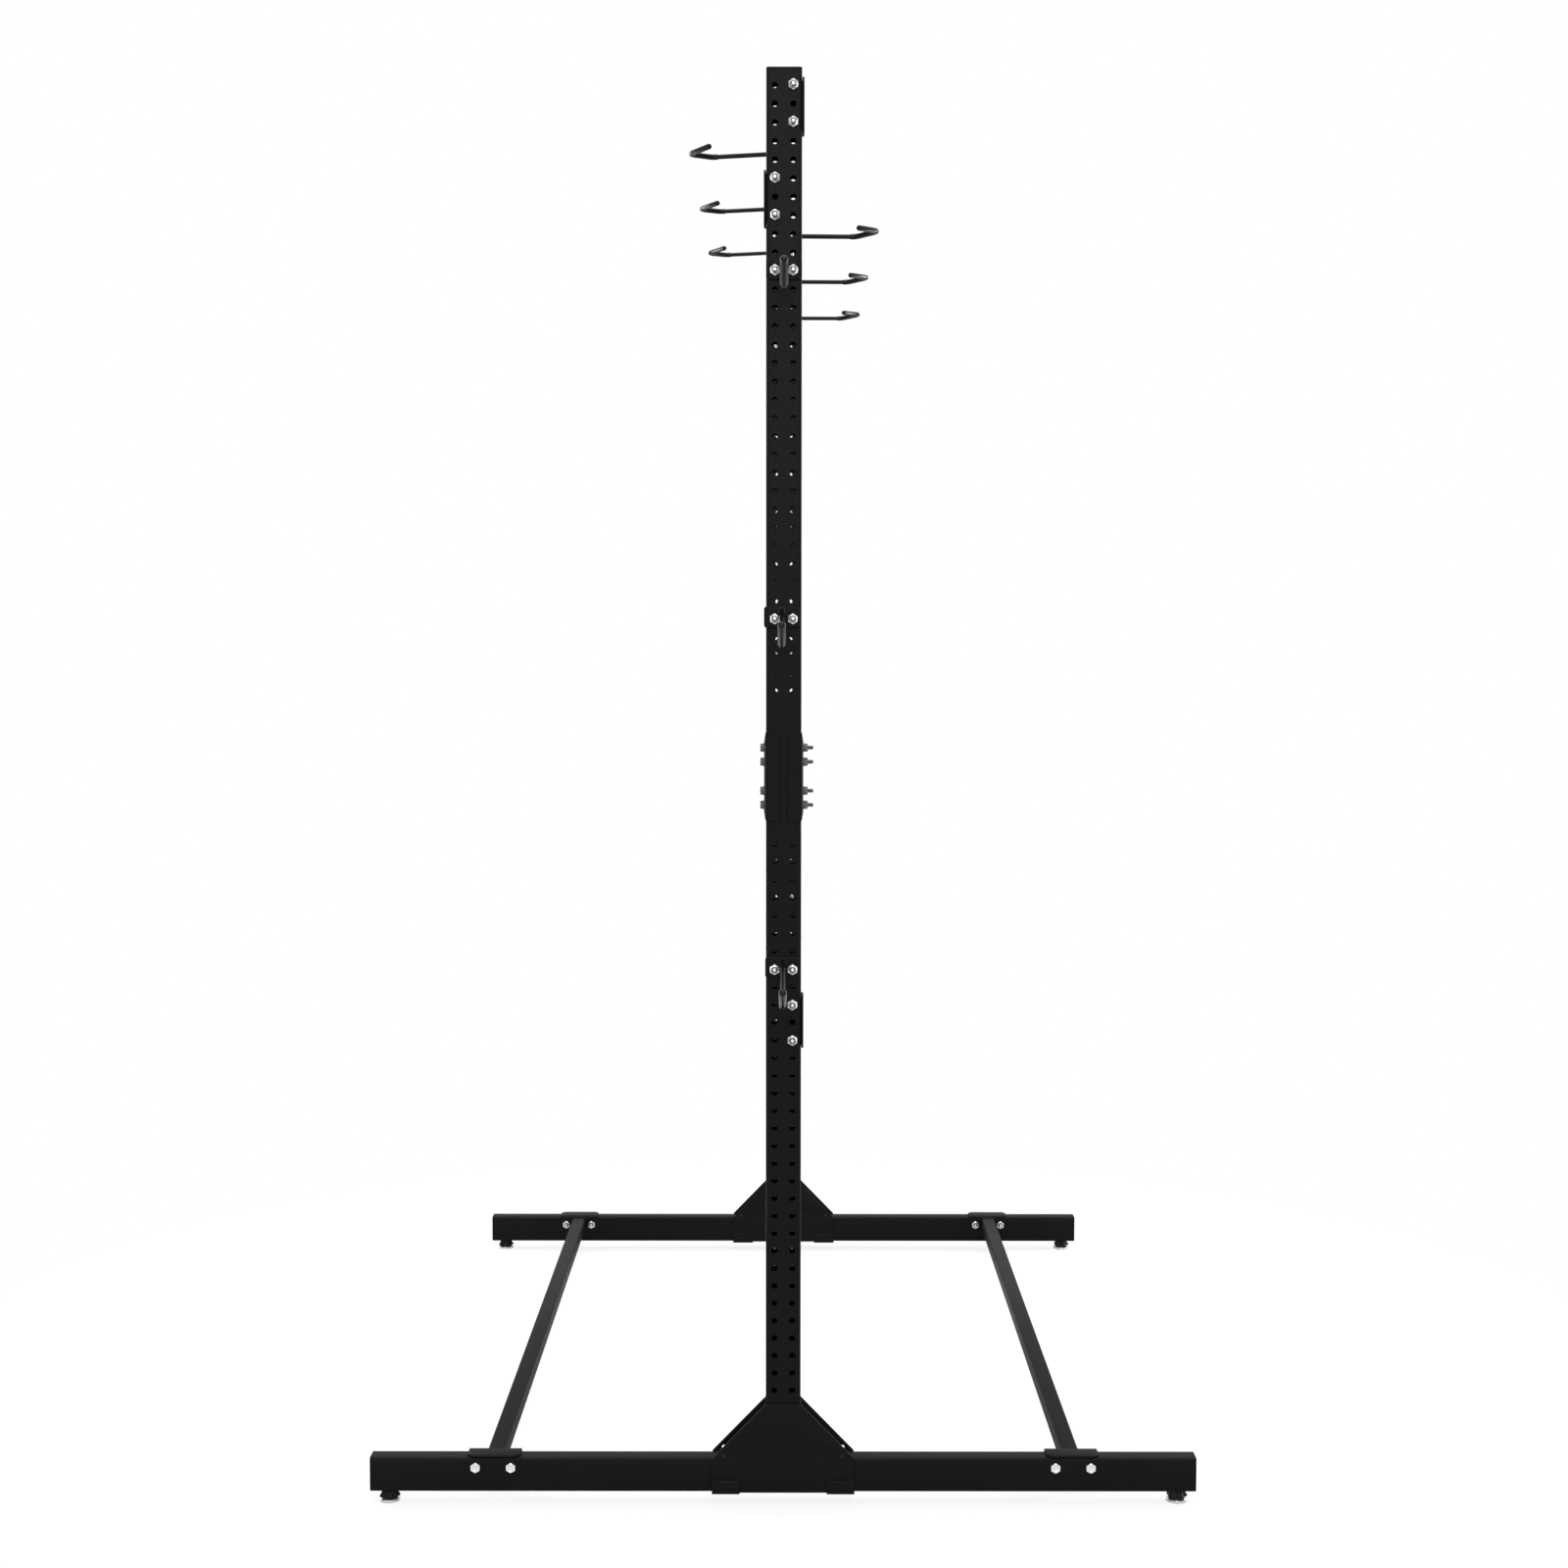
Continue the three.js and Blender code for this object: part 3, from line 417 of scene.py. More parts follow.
for end, _ in ENDS:
    low, high, middle = extent(f"foot_tube_{end}")
    half = (high - low) / 2
    flat = half[1] - TUBE_CORNER
    across = half[0] - LEVELLER_INSET
    stations = np.concatenate([
        [-half[0]], np.linspace(-across - flat, -across + flat, 5),
        np.linspace(across - flat, across + flat, 5), [half[0]],
    ])
    drills = [(1, 0, 0.0, -across), (6, 0, 0.0, across)]
    tube = drilled_tube(half[1], half[2], stations, np.linspace(-flat, flat, 5), drills, STUD_HOLE)
    piece(f"foot_{end}", [(turned(tube, (2, 0, 1), middle), coat)], f"foot_tube_{end}")
    for hand, side in HANDS:
        node = f"foot_cap_{end}_{hand}"
        cap_low, cap_high, _ = extent(node)
        face = max(abs(cap_low[0]), abs(cap_high[0]))
        cap = pushed_cap(*2 * half[1:], half[0] + CLEAR, face, half[0] - CAP_PLUG, CAP_ROUND, 0.5)
        points, faces = turned(cap, (2, 0, 1), (0.0, middle[1], middle[2]))
        points[:, 0] *= side
        piece(f"foot_end_{end}_{hand}", [((points, faces), plastic)], node)

# Levellers
# A zinc-plated pad turns freely under a moulded hand knob with five lobes. The knob grips an M10 stud that
# screws up into a nut welded inside the foot.
KNOB_LOBES = 5
KNOB_LOBE_SHARE = 0.12  # of the radius
KNOB_SIDES = 60
KNOB_RADII = np.array([11.6, 13.2, 13.9, 14.0, 13.4, 11.8, 10.9, 10.5, 10.4, 9.9, 9.0, 5.05])
KNOB_HEIGHTS = np.array([0.0, 0.25, 0.8, 1.5, 3.0, 5.2, 7.2, 8.6, 9.4, 10.0, 10.35, 10.4])
PAD_RADII = np.array([0.0, 14.2, 14.8, 15.0, 15.0, 14.8, 14.4, 10.6, 10.1, 9.6, 6.2, 5.7, 5.6, 5.6, 0.0])
PAD_HEIGHTS = np.array([0.0, 0.0, 0.2, 0.6, 3.0, 3.45, 3.7, 5.65, 5.9, 6.0, 6.0, 5.9, 5.6, 2.0, 2.0])
STUD_RADIUS = 5.0
STUD_PITCH = 1.5
THREAD_DEPTH = 0.6  # of the pitch
THREAD_SIDES = 20
THREAD_STEPS = 6  # rings to a turn
THREAD_CHAMFER = (0.3, 1.3)  # how far it takes the crest in at its start, and its length to the tip


def spokes(axis, count):
    """Unit vectors round an axis, side cos a + up sin a, and the axis itself."""
    axis = np.array(axis, float)
    up = np.array([0.0, 1.0, 0.0]) if abs(axis[2]) > 0.5 else np.array([0.0, 0.0, 1.0])
    angle = np.arange(count)[:, None] * 2 * np.pi / count
    return np.cross(up, axis) * np.cos(angle) + up * np.sin(angle), axis


def revolved(centre, axis, radius, height, sides=1):
    """Rings round an axis: radius and height are one number a ring, or one for each point round it. The
    rings are centre + axis height + spoke radius, and a fan closes each end."""
    radius, height = [np.array(values, float).reshape(len(values), -1) for values in (radius, height)]
    count = max(radius.shape[1], height.shape[1], sides)
    spoke, axis = spokes(axis, count)
    shape = (len(radius), count)
    reach = np.broadcast_to(radius, shape)[..., None] * spoke
    return capped(np.array(centre, float) + axis * np.broadcast_to(height, shape)[..., None] + reach)


def capped(grid):
    """A closed solid from rings of points: the sides, and a fan to the middle of each end ring."""
    points, faces = woven(grid)
    rows, count = grid.shape[:2]
    ring = np.arange(count)
    after = (ring + 1) % count
    first = np.stack([np.full(count, rows * count), after, ring], 1)
    last = np.stack([np.full(count, rows * count + 1), ring, after], 1)
    last[:, 1:] += (rows - 1) * count
    middles = np.stack([grid[0].mean(0), grid[-1].mean(0)])
    return np.concatenate([points, middles]), faces + [first, last]


def threaded(centre, axis, radius, pitch, start, end):
    """A thread: each ring's radius falls from the crest by the thread's depth times a triangle wave of
    height / pitch - angle / turn, and a chamfer takes the last turns down at the tip."""
    height = np.append(np.arange(start, end, pitch / THREAD_STEPS), end)
    angle = np.arange(THREAD_SIDES) / THREAD_SIDES
    wave = abs(2 * np.mod(height[:, None] / pitch - angle, 1.0) - 1)
    depth = THREAD_DEPTH * pitch * wave
    drop, chamfer = THREAD_CHAMFER
    tip = np.clip(height - (end - chamfer), 0.0, None)[:, None]
    return revolved(centre, axis, np.minimum(radius - depth, radius - drop - tip), height)


# Bright zinc plate: mirror-like metal, slightly cloudy, with faint rolling and handling marks
zinc = finished("bright_zinc", (300.0, 3.0, 0.6), (0.78, 0.79, 0.80), (0.95, 0.95, 0.95), (0.20, 0.18),
                (0.00002, 0.5), Metallic=1.0)
# Zinc on cut threads and on the small bolts: rougher, and painted a dark grey far below zinc's own tone, as
# painted shade for the shaded grooves and the dark reflections on these parts
thread_zinc = finished("dull_zinc_painted_shade", (700.0, 3.0, 0.6), (0.05, 0.052, 0.055), (0.20, 0.20, 0.20), (0.38, 0.2),
                       (0.00003, 0.6), Metallic=1.0)

for end, _ in ENDS:
    for hand, _ in HANDS:
        place = f"{end}_{hand}"
        low, high, _ = extent(f"leveller_knob_{place}")
        _, pad_high, pad_middle = extent(f"leveller_pad_{place}")
        centre = pad_middle * (1, 1, 0)
        base = pad_high[2] + CLEAR
        lobes = 1 + KNOB_LOBE_SHARE * np.cos(KNOB_LOBES * np.arange(KNOB_SIDES) * 2 * np.pi / KNOB_SIDES)
        swell = KNOB_RADII[:-1, None] * lobes
        radii = np.concatenate([swell, np.full((1, KNOB_SIDES), KNOB_RADII[-1])])
        grip = revolved(centre, (0, 0, 1), radii, base + KNOB_HEIGHTS)
        stud = threaded(centre, (0, 0, 1), STUD_RADIUS, STUD_PITCH, low[2], high[2])
        piece(f"hand_knob_{place}", [(grip, plastic), (stud, thread_zinc)],
              f"leveller_knob_{place}", f"knob_{place}")
        foot_pad = revolved(centre, (0, 0, 1), PAD_RADII, PAD_HEIGHTS, 48)
        piece(f"foot_pad_{place}", [(foot_pad, zinc)], f"leveller_pad_{place}", f"pad_{place}")

# Lower uprights
# The lower length of each upright is drilled right through on a 25.4 mm pitch in two columns and welded
# between two cut plates that stand astride the foot. Two straps run under the foot and turn up in front.
UPRIGHT_HALF = (25.0, 15.0)
HOLE_RADIUS = 4.3
PITCH = 25.4
COLUMN = 12.7
JOINT_TO_ROW = 95.15  # end of a length at the joint to its nearest row
LOWER_ROWS = 32
UPPER_ROWS = 35
PLATE_IN = 15.3  # from the frame's centre line to a gusset plate
PLATE_OUT = 18.3
GUSSET_RISE = 80.0
GUSSET_BASE = 102.5
GUSSET_HOLE = 3.0
GUSSET_HOLE_PLACE = (86.0, 5.0)  # across, and above the foot
GUSSET_CORNER = 1.2
GUSSET_WELD = (25.9, 14.4)  # the middle of the bead in the corner of upright and plate
GUSSET_WELD_ENDS = (2.0, 4.0)  # bare lengths at the foot and at the plate's top
STRAP_ACROSS = 82.5
STRAP_HALF = 20.0
STRAP_THICK = 2.0
STRAP_TURN_UP = 19.0
STRAP_BEND = 2.0  # radius of the middle of the strap
STRAP_CUT = 3.0
BEAD_RADIUS = 1.9
BEAD_RIPPLE = 2.4  # length of one ripple
BEAD_SWELL = 0.09  # of the radius
BEAD_SIDES = 10


def drilled_upright(line, low, high, first, rows):
    """One length of upright: rows of two holes from the first row up, through the near and far walls."""
    flat = UPRIGHT_HALF[0] - TUBE_CORNER
    lines = np.linspace(-flat, flat, 9)
    edge = first - PITCH / 2
    stations = np.concatenate([[low], np.linspace(edge, edge + rows * PITCH, 4 * rows + 1), [high]])
    far = len(lines) + 8  # the first mesh of the far face in the section
    centre = first + np.arange(rows) * PITCH
    row = 1 + 4 * np.arange(rows)
    drills = [
        np.stack([row, np.full(rows, column), np.full(rows, place), centre], 1)
        for column, place in ((0, -COLUMN), (4, COLUMN), (far, COLUMN), (far + 4, -COLUMN))
    ]
    tube = drilled_tube(*UPRIGHT_HALF, stations, lines, np.concatenate(drills), HOLE_RADIUS)
    return turned(tube, offset=(0.0, line, 0.0))


def bent(corners, radii, steps=6):
    """Points and directions along a wire: straight runs joined by arcs that touch both. An arc is
    start + before r sin a + inward r (1 - cos a), and its direction before cos a + inward sin a."""
    corners = np.asarray(corners, float)
    run = unit(np.diff(corners, axis=0))
    before, after = run[:-1], run[1:]
    cosine = (before * after).sum(1, keepdims=True)
    inward = unit(after - before * cosine)
    angle = np.arccos(cosine)
    radius = np.asarray(radii, float)[:, None]
    start = (corners[1:-1] - before * radius * np.tan(angle / 2))[:, None]
    part = (angle * np.linspace(0, 1, steps + 1))[..., None]
    before, inward, radius = before[:, None], inward[:, None], radius[:, None]
    arcs = start + before * radius * np.sin(part) + inward * radius * (1 - np.cos(part))
    ways = before * np.cos(part) + inward * np.sin(part)
    points = np.concatenate([corners[:1], arcs.reshape(-1, 3), corners[-1:]])
    return points, np.concatenate([run[:1], ways.reshape(-1, 3), run[-1:]])


def strip(corners, radii, across, half_width, half_thick, first_cut, last_cut, edge=0.5):
    """Flat bar bent along a path. Its section is a rectangle with rounded corners, and it narrows towards
    each end by that end's cut, over a length equal to the cut, so the end's corners are cut at 45 degrees."""
    points, ways = bent(corners, radii)
    first = np.array([0.0, edge, max(first_cut, 2 * edge)])
    last = np.array([max(last_cut, 2 * edge), edge, 0.0])
    points = np.concatenate([
        points[0] + ways[0] * first[:, None], points[1:-1], points[-1] - ways[-1] * last[:, None],
    ])
    ways = np.concatenate([np.repeat(ways[:1], 3, 0), ways[1:-1], np.repeat(ways[-1:], 3, 0)])
    width = np.full(len(points), half_width)
    width[:3] -= np.clip(first_cut - first, 0, None)
    width[-3:] -= np.clip(last_cut - last, 0, None)
    thick = np.full(len(points), half_thick)
    thick[[0, -1]] -= edge * 0.7
    width[[0, -1]] -= edge * 0.7
    turn = np.linspace(0, 2 * np.pi, 17)[:16] + np.pi / 16
    sign_a, sign_b = np.sign(np.cos(turn)), np.sign(np.sin(turn))
    a = sign_a * (width[:, None] - edge) + edge * np.cos(turn)
    b = sign_b * (thick[:, None] - edge) + edge * np.sin(turn)
    across = np.array(across, float)
    normal = np.cross(across, ways)
    return capped(points[:, None] + a[..., None] * across + b[..., None] * normal[:, None])


def rod(points, ways, radii, up, sides):
    """Rings square to a path, of one radius or each of its own, closed at both ends."""
    aside = unit(np.cross(ways, np.array(up, float)))
    rise = np.cross(aside, ways)
    angle = np.arange(sides) * 2 * np.pi / sides
    spread = np.cos(angle)[:, None] * aside[:, None] + np.sin(angle)[:, None] * rise[:, None]
    return capped(points[:, None] + np.broadcast_to(radii, len(points))[:, None, None] * spread)


def straight_bead(start, end):
    """A weld bead on a straight line: a round bar whose radius swells and shrinks along its length."""
    start, end = np.array(start, float), np.array(end, float)
    length = np.linalg.norm(end - start)
    along = np.linspace(0, length, int(length / BEAD_RIPPLE * 4))
    way = (end - start) / length
    swell = BEAD_RADIUS * (1 + BEAD_SWELL * np.sin(2 * np.pi * along / BEAD_RIPPLE))
    swell *= np.sqrt(np.clip(np.minimum(along, length - along) / BEAD_RADIUS, 0.1, 1))
    ways = np.repeat(way[None], len(along), 0)
    return rod(start + way * along[:, None], ways, swell, (1, 0, 0), BEAD_SIDES)


def circle(radius, middle, count=20):
    """A round hole's outline, drawn clockwise."""
    angle = -np.arange(count) * 2 * np.pi / count
    return np.stack([middle[0] + radius * np.cos(angle), middle[1] + radius * np.sin(angle)], 1)


for end, _ in ENDS:
    foot_low, foot_high, (_, line, _) = extent(f"foot_tube_{end}")
    foot_top, foot_bottom = foot_high[2], foot_low[2]
    joint_low = extent(f"upright_lower_{end}")[1][2]
    first = joint_low - JOINT_TO_ROW + CLEAR - (LOWER_ROWS - 1) * PITCH
    shapes = [drilled_upright(line, foot_top + CLEAR, joint_low, first, LOWER_ROWS)]
    top = foot_top + GUSSET_RISE
    outline = rounded([
        (-UPRIGHT_HALF[0], top), (-GUSSET_BASE, foot_top), (-GUSSET_BASE, foot_bottom),
        (GUSSET_BASE, foot_bottom), (GUSSET_BASE, foot_top), (UPRIGHT_HALF[0], top),
    ], GUSSET_CORNER)
    hole_across, hole_rise = GUSSET_HOLE_PLACE
    holes = [circle(GUSSET_HOLE, (side * hole_across, foot_top + hole_rise)) for side in (-1, 1)]
    for side in (-1, 1):
        faces = sorted([line + side * PLATE_IN, line + side * PLATE_OUT])
        shapes.append(turned(slab(outline, *faces, 0.5, holes), (0, 2, 1)))
        for edge in (-1, 1):
            weld = (edge * GUSSET_WELD[0], line + side * GUSSET_WELD[1])
            bead_ends = foot_top + GUSSET_WELD_ENDS[0], top - GUSSET_WELD_ENDS[1]
            shapes.append(straight_bead(*[(*weld, height) for height in bead_ends]))
        under = foot_bottom - CLEAR - STRAP_THICK / 2
        tab = line - PLATE_OUT - STRAP_THICK / 2
        path = [
            (side * STRAP_ACROSS, line + PLATE_OUT, under), (side * STRAP_ACROSS, tab, under),
            (side * STRAP_ACROSS, tab, foot_bottom - CLEAR + STRAP_TURN_UP),
        ]
        shapes.append(strip(path, [STRAP_BEND], (1, 0, 0), STRAP_HALF, STRAP_THICK / 2, 0.0, STRAP_CUT, 0.4))
    piece(f"lower_upright_{end}", [(joined(*shapes), coat)], f"upright_lower_{end}")

# Upper uprights
# The same drilled tube, butted on the lower length and closed at the top with a plastic cap.
for end, _ in ENDS:
    low, high, (_, line, _) = extent(f"upright_upper_{end}")
    tube = drilled_upright(line, low[2], high[2], low[2] + JOINT_TO_ROW - CLEAR, UPPER_ROWS)
    piece(f"upper_upright_{end}", [(tube, coat)], f"upright_upper_{end}")
    cap_low, cap_high, _ = extent(f"upright_cap_{end}")
    cap = pushed_cap(*2 * np.array(UPRIGHT_HALF), high[2] + CLEAR, cap_high[2], cap_low[2], 0.5, 0.4)
    top_cap = turned(cap, offset=(0.0, line, 0.0))
    piece(f"top_cap_{end}", [(top_cap, plastic)], f"upright_cap_{end}")

# Splices
# Two bent steel halves clasp the butt joint of each upright. Their ends are ground to a taper, and a slot
# stays open between them at the front and the back.
SHELL_WALL = 2.5
SHELL_SLOT = 11.0
SHELL_TAPER = 12.0
SHELL_BENDS = (6.5, 4.0)  # outside and inside
SHELL_EDGE = 0.5
SHELL_TIP = 0.3  # thickness left at a tapered end

for end, _ in ENDS:
    for hand, side in HANDS:
        low, high, (_, line, _) = extent(f"splice_shell_{end}_{hand}")
        out_x = max(abs(low[0]), abs(high[0]))
        out_y = (high[1] - low[1]) / 2
        in_x, in_y = out_x - SHELL_WALL, out_y - SHELL_WALL
        slot = SHELL_SLOT / 2
        outline = rounded([
            (slot, -out_y), (out_x, -out_y), (out_x, out_y), (slot, out_y),
            (slot, in_y), (in_x, in_y), (in_x, -in_y), (slot, -in_y),
        ], np.repeat([SHELL_EDGE, SHELL_BENDS[0], SHELL_EDGE, SHELL_BENDS[1], SHELL_EDGE], [1, 2, 2, 2, 1]))
        tall = high[2] - low[2]
        level = np.array([0.0, 0.4, SHELL_TAPER, tall - SHELL_TAPER, tall - 0.4, tall])
        from_end = np.minimum(level, level[-1] - level)
        taper = (SHELL_WALL - SHELL_TIP) * np.clip(1 - from_end / SHELL_TAPER, 0, None)
        x = np.minimum(outline[:, 0], (out_x - taper)[:, None])
        y = np.broadcast_to(outline[:, 1], x.shape)
        z = np.broadcast_to(level[:, None] + low[2], x.shape)
        rings = np.stack([side * x, line + y, z], 2)
        piece(f"splice_half_{end}_{hand}", [(filled([rings]), coat)],
              f"splice_shell_{end}_{hand}")

# Splice bolts
# Four M6 bolts cross each splice from left to right, each with a washer under its head and one under its
# nut. Their threads stand well out of the nuts.
M6 = {"radius": 3.0, "pitch": 1.0, "flats": 10.0, "head": 4.0, "nut": 5.0}
M8 = {"radius": 4.0, "pitch": 1.25, "flats": 13.0, "head": 5.3, "nut": 8.0}
SPLICE_BOLTS = (40.6, 20.5, -20.5, -40.6)
SPLICE_BOLT_LENGTHS = {"front": 71.5, "rear": 65.0}  # the rear ones end inside their outline
SPLICE_BOLT_PLAIN = 54.0  # from the head to the thread
WASHER = (3.2, 6.4, 1.4)  # inner radius, outer radius, thickness
RING_SIDES = 32
HEX_EDGE = 0.25  # broken edge where a hexagon meets its seat
SHANK_SIDES = 24
SHANK_INSET = 0.1  # of the plain part, from the thread's crest
SHANK_START = 0.05  # from the head
BRIGHT_INSETS = np.array([1.75, 1.7, 1.9])  # of the bright end's rings, from the thread's crest
BRIGHT_DEPTHS = np.array([0.3, 0.1, 0.0])  # from the tip


def trimmed_hexagon(seat, axis, flats, rings, count=36):
    """A hexagon on its seat, a corner at the top, its radius half the flats / cos(angle from a flat). A cone
    of 30 degrees trims it down to the first of the round rings (radius, height) that follow it."""
    angle = np.arange(count) * 2 * np.pi / count - np.pi / 2
    hexagon = flats / 2 / np.cos(np.mod(angle, np.pi / 3) - np.pi / 6)
    level = np.ones(count)
    trimmed = rings[0][1] - (hexagon - rings[0][0]) * np.tan(np.pi / 6)
    radius = [hexagon - HEX_EDGE, hexagon, hexagon] + [reach * level for reach, _ in rings]
    height = [0 * level, HEX_EDGE * level, trimmed] + [rise * level for _, rise in rings]
    return revolved(seat, axis, radius, height)


def bolt_head(seat, axis, size):
    """A hexagon head on its seat, with a dished top."""
    flat, high = size["flats"] / 2, size["head"]
    rings = [(0.96 * flat, high), (0.72 * flat, high), (0.60 * flat, high - 0.35), (0.55 * flat, high - 0.5),
             (0.0, high - 0.55)]
    return trimmed_hexagon(seat, -np.array(axis, float), size["flats"], rings)


def plain_nut(seat, axis, size):
    """A hexagon nut, countersunk round its thread."""
    high, bore = size["nut"], size["radius"]
    rings = [(0.96 * size["flats"] / 2, high), (1.25 * bore, high), (1.02 * bore, high - 0.7)]
    return trimmed_hexagon(seat, axis, size["flats"], rings)


def washer(seat, axis):
    """A flat washer with rounded rims: a closed section carried round its axis."""
    inner, outer, thick = WASHER
    section = box_outline(outer - inner, thick, 0.3, ((inner + outer) / 2, thick / 2), 2)
    return ring_of(section, seat, axis)


def ring_of(section, seat, axis):
    """A closed section (radius, height) carried once round an axis."""
    spoke, axis = spokes(axis, RING_SIDES)
    reach, rise = section[:, 0][:, None, None], section[:, 1][:, None, None]
    return woven(np.array(seat, float) + reach * spoke + rise * axis, closed=True)


def shank(seat, axis, size, length, threads):
    """The bolt's plain shank from under its head with the turns of thread at its tip, and the flat end that
    is left bright inside the chamfer."""
    radius, plain_end = size["radius"], length - threads
    plain_part = revolved(seat, axis, [radius - SHANK_INSET] * 2, [SHANK_START, plain_end], SHANK_SIDES)
    thread = threaded(seat, axis, radius, size["pitch"], plain_end, length - BRIGHT_DEPTHS[1])
    flat_end = revolved(seat, axis, radius - BRIGHT_INSETS, length - BRIGHT_DEPTHS, SHANK_SIDES)
    return joined(plain_part, thread), flat_end


for end, _ in ENDS:
    left_low, _, (_, line, joint) = extent(f"splice_shell_{end}_left")
    _, right_high, _ = extent(f"splice_shell_{end}_right")
    for number, offset in enumerate(SPLICE_BOLTS, 1):
        along = (1.0, 0.0, 0.0)
        across = (left_low[0], left_low[0] - WASHER[2], right_high[0], right_high[0] + WASHER[2])
        left_face, head_seat, right_face, nut_seat = [(x, line, joint + offset) for x in across]
        metal = joined(bolt_head(head_seat, along, M6), washer(left_face, (-1.0, 0.0, 0.0)),
                       washer(right_face, along), plain_nut(nut_seat, along, M6))
        length = SPLICE_BOLT_LENGTHS[end]
        thread, flat_end = shank(head_seat, along, M6, length, length - SPLICE_BOLT_PLAIN)
        coats = [(joined(metal, thread), thread_zinc), (flat_end, zinc)]
        piece(f"splice_bolt_{end}_{number}", coats)

# Floor bars
# A 25 mm square tube runs from foot to foot on each side. An angle bracket is welded on each end: its leg
# is bolted to the foot's inner face, and its tongue lies on top of the foot.
BAR_SIZE = 25.0
BAR_WALL = 1.5
BAR_CORNER = 3.0
BRACKET_PLATE = 3.0
BRACKET_CUTS = (3.0, 7.0)  # at the leg's end and at the tongue's
BRACKET_BEND = 2.6  # radius of the middle of the plate
BRACKET_BOLT_DROP = 13.5  # below the top of the foot
BRACKET_BOLTS = 25.4  # either side of the bar
BRACKET_BOLT_LENGTH = 47.0
BRACKET_THREAD = 18.0
BAR_GAP = 0.05  # from the tube's end to the bracket that it is welded on
BAR_BEAD = 0.8  # from the tube's end to the middle of the bead


def closed_bead(outline, level, axes, radius=BEAD_RADIUS, ripple=BEAD_RIPPLE):
    """A weld bead on a closed outline: a round section carried along it, whose radius swells and shrinks."""
    loop = np.concatenate([outline, outline[:1]])
    length = np.append(0.0, np.cumsum(np.linalg.norm(np.diff(loop, axis=0), axis=1)))
    count = int(length[-1] / ripple * 4)
    at = np.arange(count) * length[-1] / count
    path = np.stack([np.interp(at, length, loop[:, 0]), np.interp(at, length, loop[:, 1])], 1)
    waves = round(length[-1] / ripple)
    swell = radius * (1 + BEAD_SWELL * np.sin(2 * np.pi * waves * at / length[-1]))[:, None]
    angle = np.arange(BEAD_SIDES) * 2 * np.pi / BEAD_SIDES
    flat = path[:, None] + (swell * np.cos(angle))[..., None] * outward(path)[:, None]
    height = level + swell * np.sin(angle)
    shape = woven(np.concatenate([flat, height[..., None]], 2), closed=True)
    return turned(shape, axes)


for hand, _ in HANDS:
    low, high, (x, middle_y, _) = extent(f"floor_bar_{hand}")
    half_bracket = (high[0] - low[0]) / 2
    _, front_high, _ = extent("foot_tube_front")
    foot_top = front_high[2]
    bar_z = foot_top - BAR_SIZE / 2
    leg_face = middle_y - front_high[1] - CLEAR  # from the middle to where the legs meet the feet
    section = box_outline(BAR_SIZE, BAR_SIZE, BAR_CORNER, (x, bar_z))
    bore = box_outline(BAR_SIZE - 2 * BAR_WALL, BAR_SIZE - 2 * BAR_WALL, BAR_CORNER - BAR_WALL, (x, bar_z))
    bar_end = leg_face - BRACKET_PLATE - BAR_GAP
    shapes = [turned(slab(section, middle_y - bar_end, middle_y + bar_end, 0.3, [bore[::-1]]), (0, 2, 1))]
    for way in (-1, 1):
        leg = middle_y + way * (leg_face - BRACKET_PLATE / 2)
        top = high[2] - BRACKET_PLATE / 2
        path = [(x, leg, low[2]), (x, leg, top), (x, middle_y + way * (high[1] - middle_y), top)]
        shapes.append(strip(path, [BRACKET_BEND], (1, 0, 0), half_bracket, BRACKET_PLATE / 2, *BRACKET_CUTS))
        shapes.append(closed_bead(section, middle_y + way * (bar_end - BAR_BEAD), (0, 2, 1)))
    piece(f"floor_tie_{hand}", [(joined(*shapes), coat)], f"floor_bar_{hand}")
    for end, way in ENDS:
        outer = face_y(f"foot_tube_{end}", way)
        inner = middle_y + way * (leg_face - BRACKET_PLATE)
        for place, step in HANDS:
            bolt_x = x + step * BRACKET_BOLTS
            z = foot_top - BRACKET_BOLT_DROP
            along = (0.0, -way, 0.0)
            head_seat, nut_seat = (bolt_x, outer, z), (bolt_x, inner, z)
            thread, flat_end = shank(head_seat, along, M8, BRACKET_BOLT_LENGTH, BRACKET_THREAD)
            metal = joined(bolt_head(head_seat, along, M8), plain_nut(nut_seat, along, M8), flat_end)
            piece(f"bar_bolt_{end}_{hand}_{place}", [(metal, zinc), (thread, thread_zinc)])

# Rails
# Flat bar, 76 x 3 mm, powder coated. Each end is bent across an upright's inner face, where two bolts hold
# it, and bent again into a lip that hugs the upright's side, so that the rail can't twist.
RAIL_PLATE = 3.0
RAIL_BEND = 3.5  # radius of the middle of the bar
RAIL_CUT = 6.0

for level, hook_side in (("top", -1), ("middle", 1), ("lower", -1)):
    low, high, (_, _, z) = extent(f"rail_{level}")
    web = hook_side * RAIL_PLATE / 2
    lip = -hook_side * (max(abs(low[0]), abs(high[0])) - RAIL_PLATE / 2)
    faces = [face_y(f"upright_upper_{end}", -way) for end, way in ENDS]
    near, far = faces[0] + CLEAR + RAIL_PLATE / 2, faces[1] - CLEAR - RAIL_PLATE / 2
    path = [(lip, low[1], z), (lip, near, z), (web, near, z), (web, far, z), (lip, far, z), (lip, high[1], z)]
    half_high = (high[2] - low[2]) / 2
    bar = strip(path, [RAIL_BEND] * 4, (0, 0, 1), half_high, RAIL_PLATE / 2, RAIL_CUT, RAIL_CUT, 0.6)
    piece(f"rail_bar_{level}", [(bar, coat)], f"rail_{level}")

# Rail bolts
# M8 bolts with their heads inside the rails' ends and lock nuts on the outer faces of the uprights. A lock
# nut's collar is rolled over a nylon ring that grips the bolt's tip.
LOCK_HEXAGON_SHARE = 0.70  # of the nut's height, and the rest is collar
RAIL_THREAD = 14.0

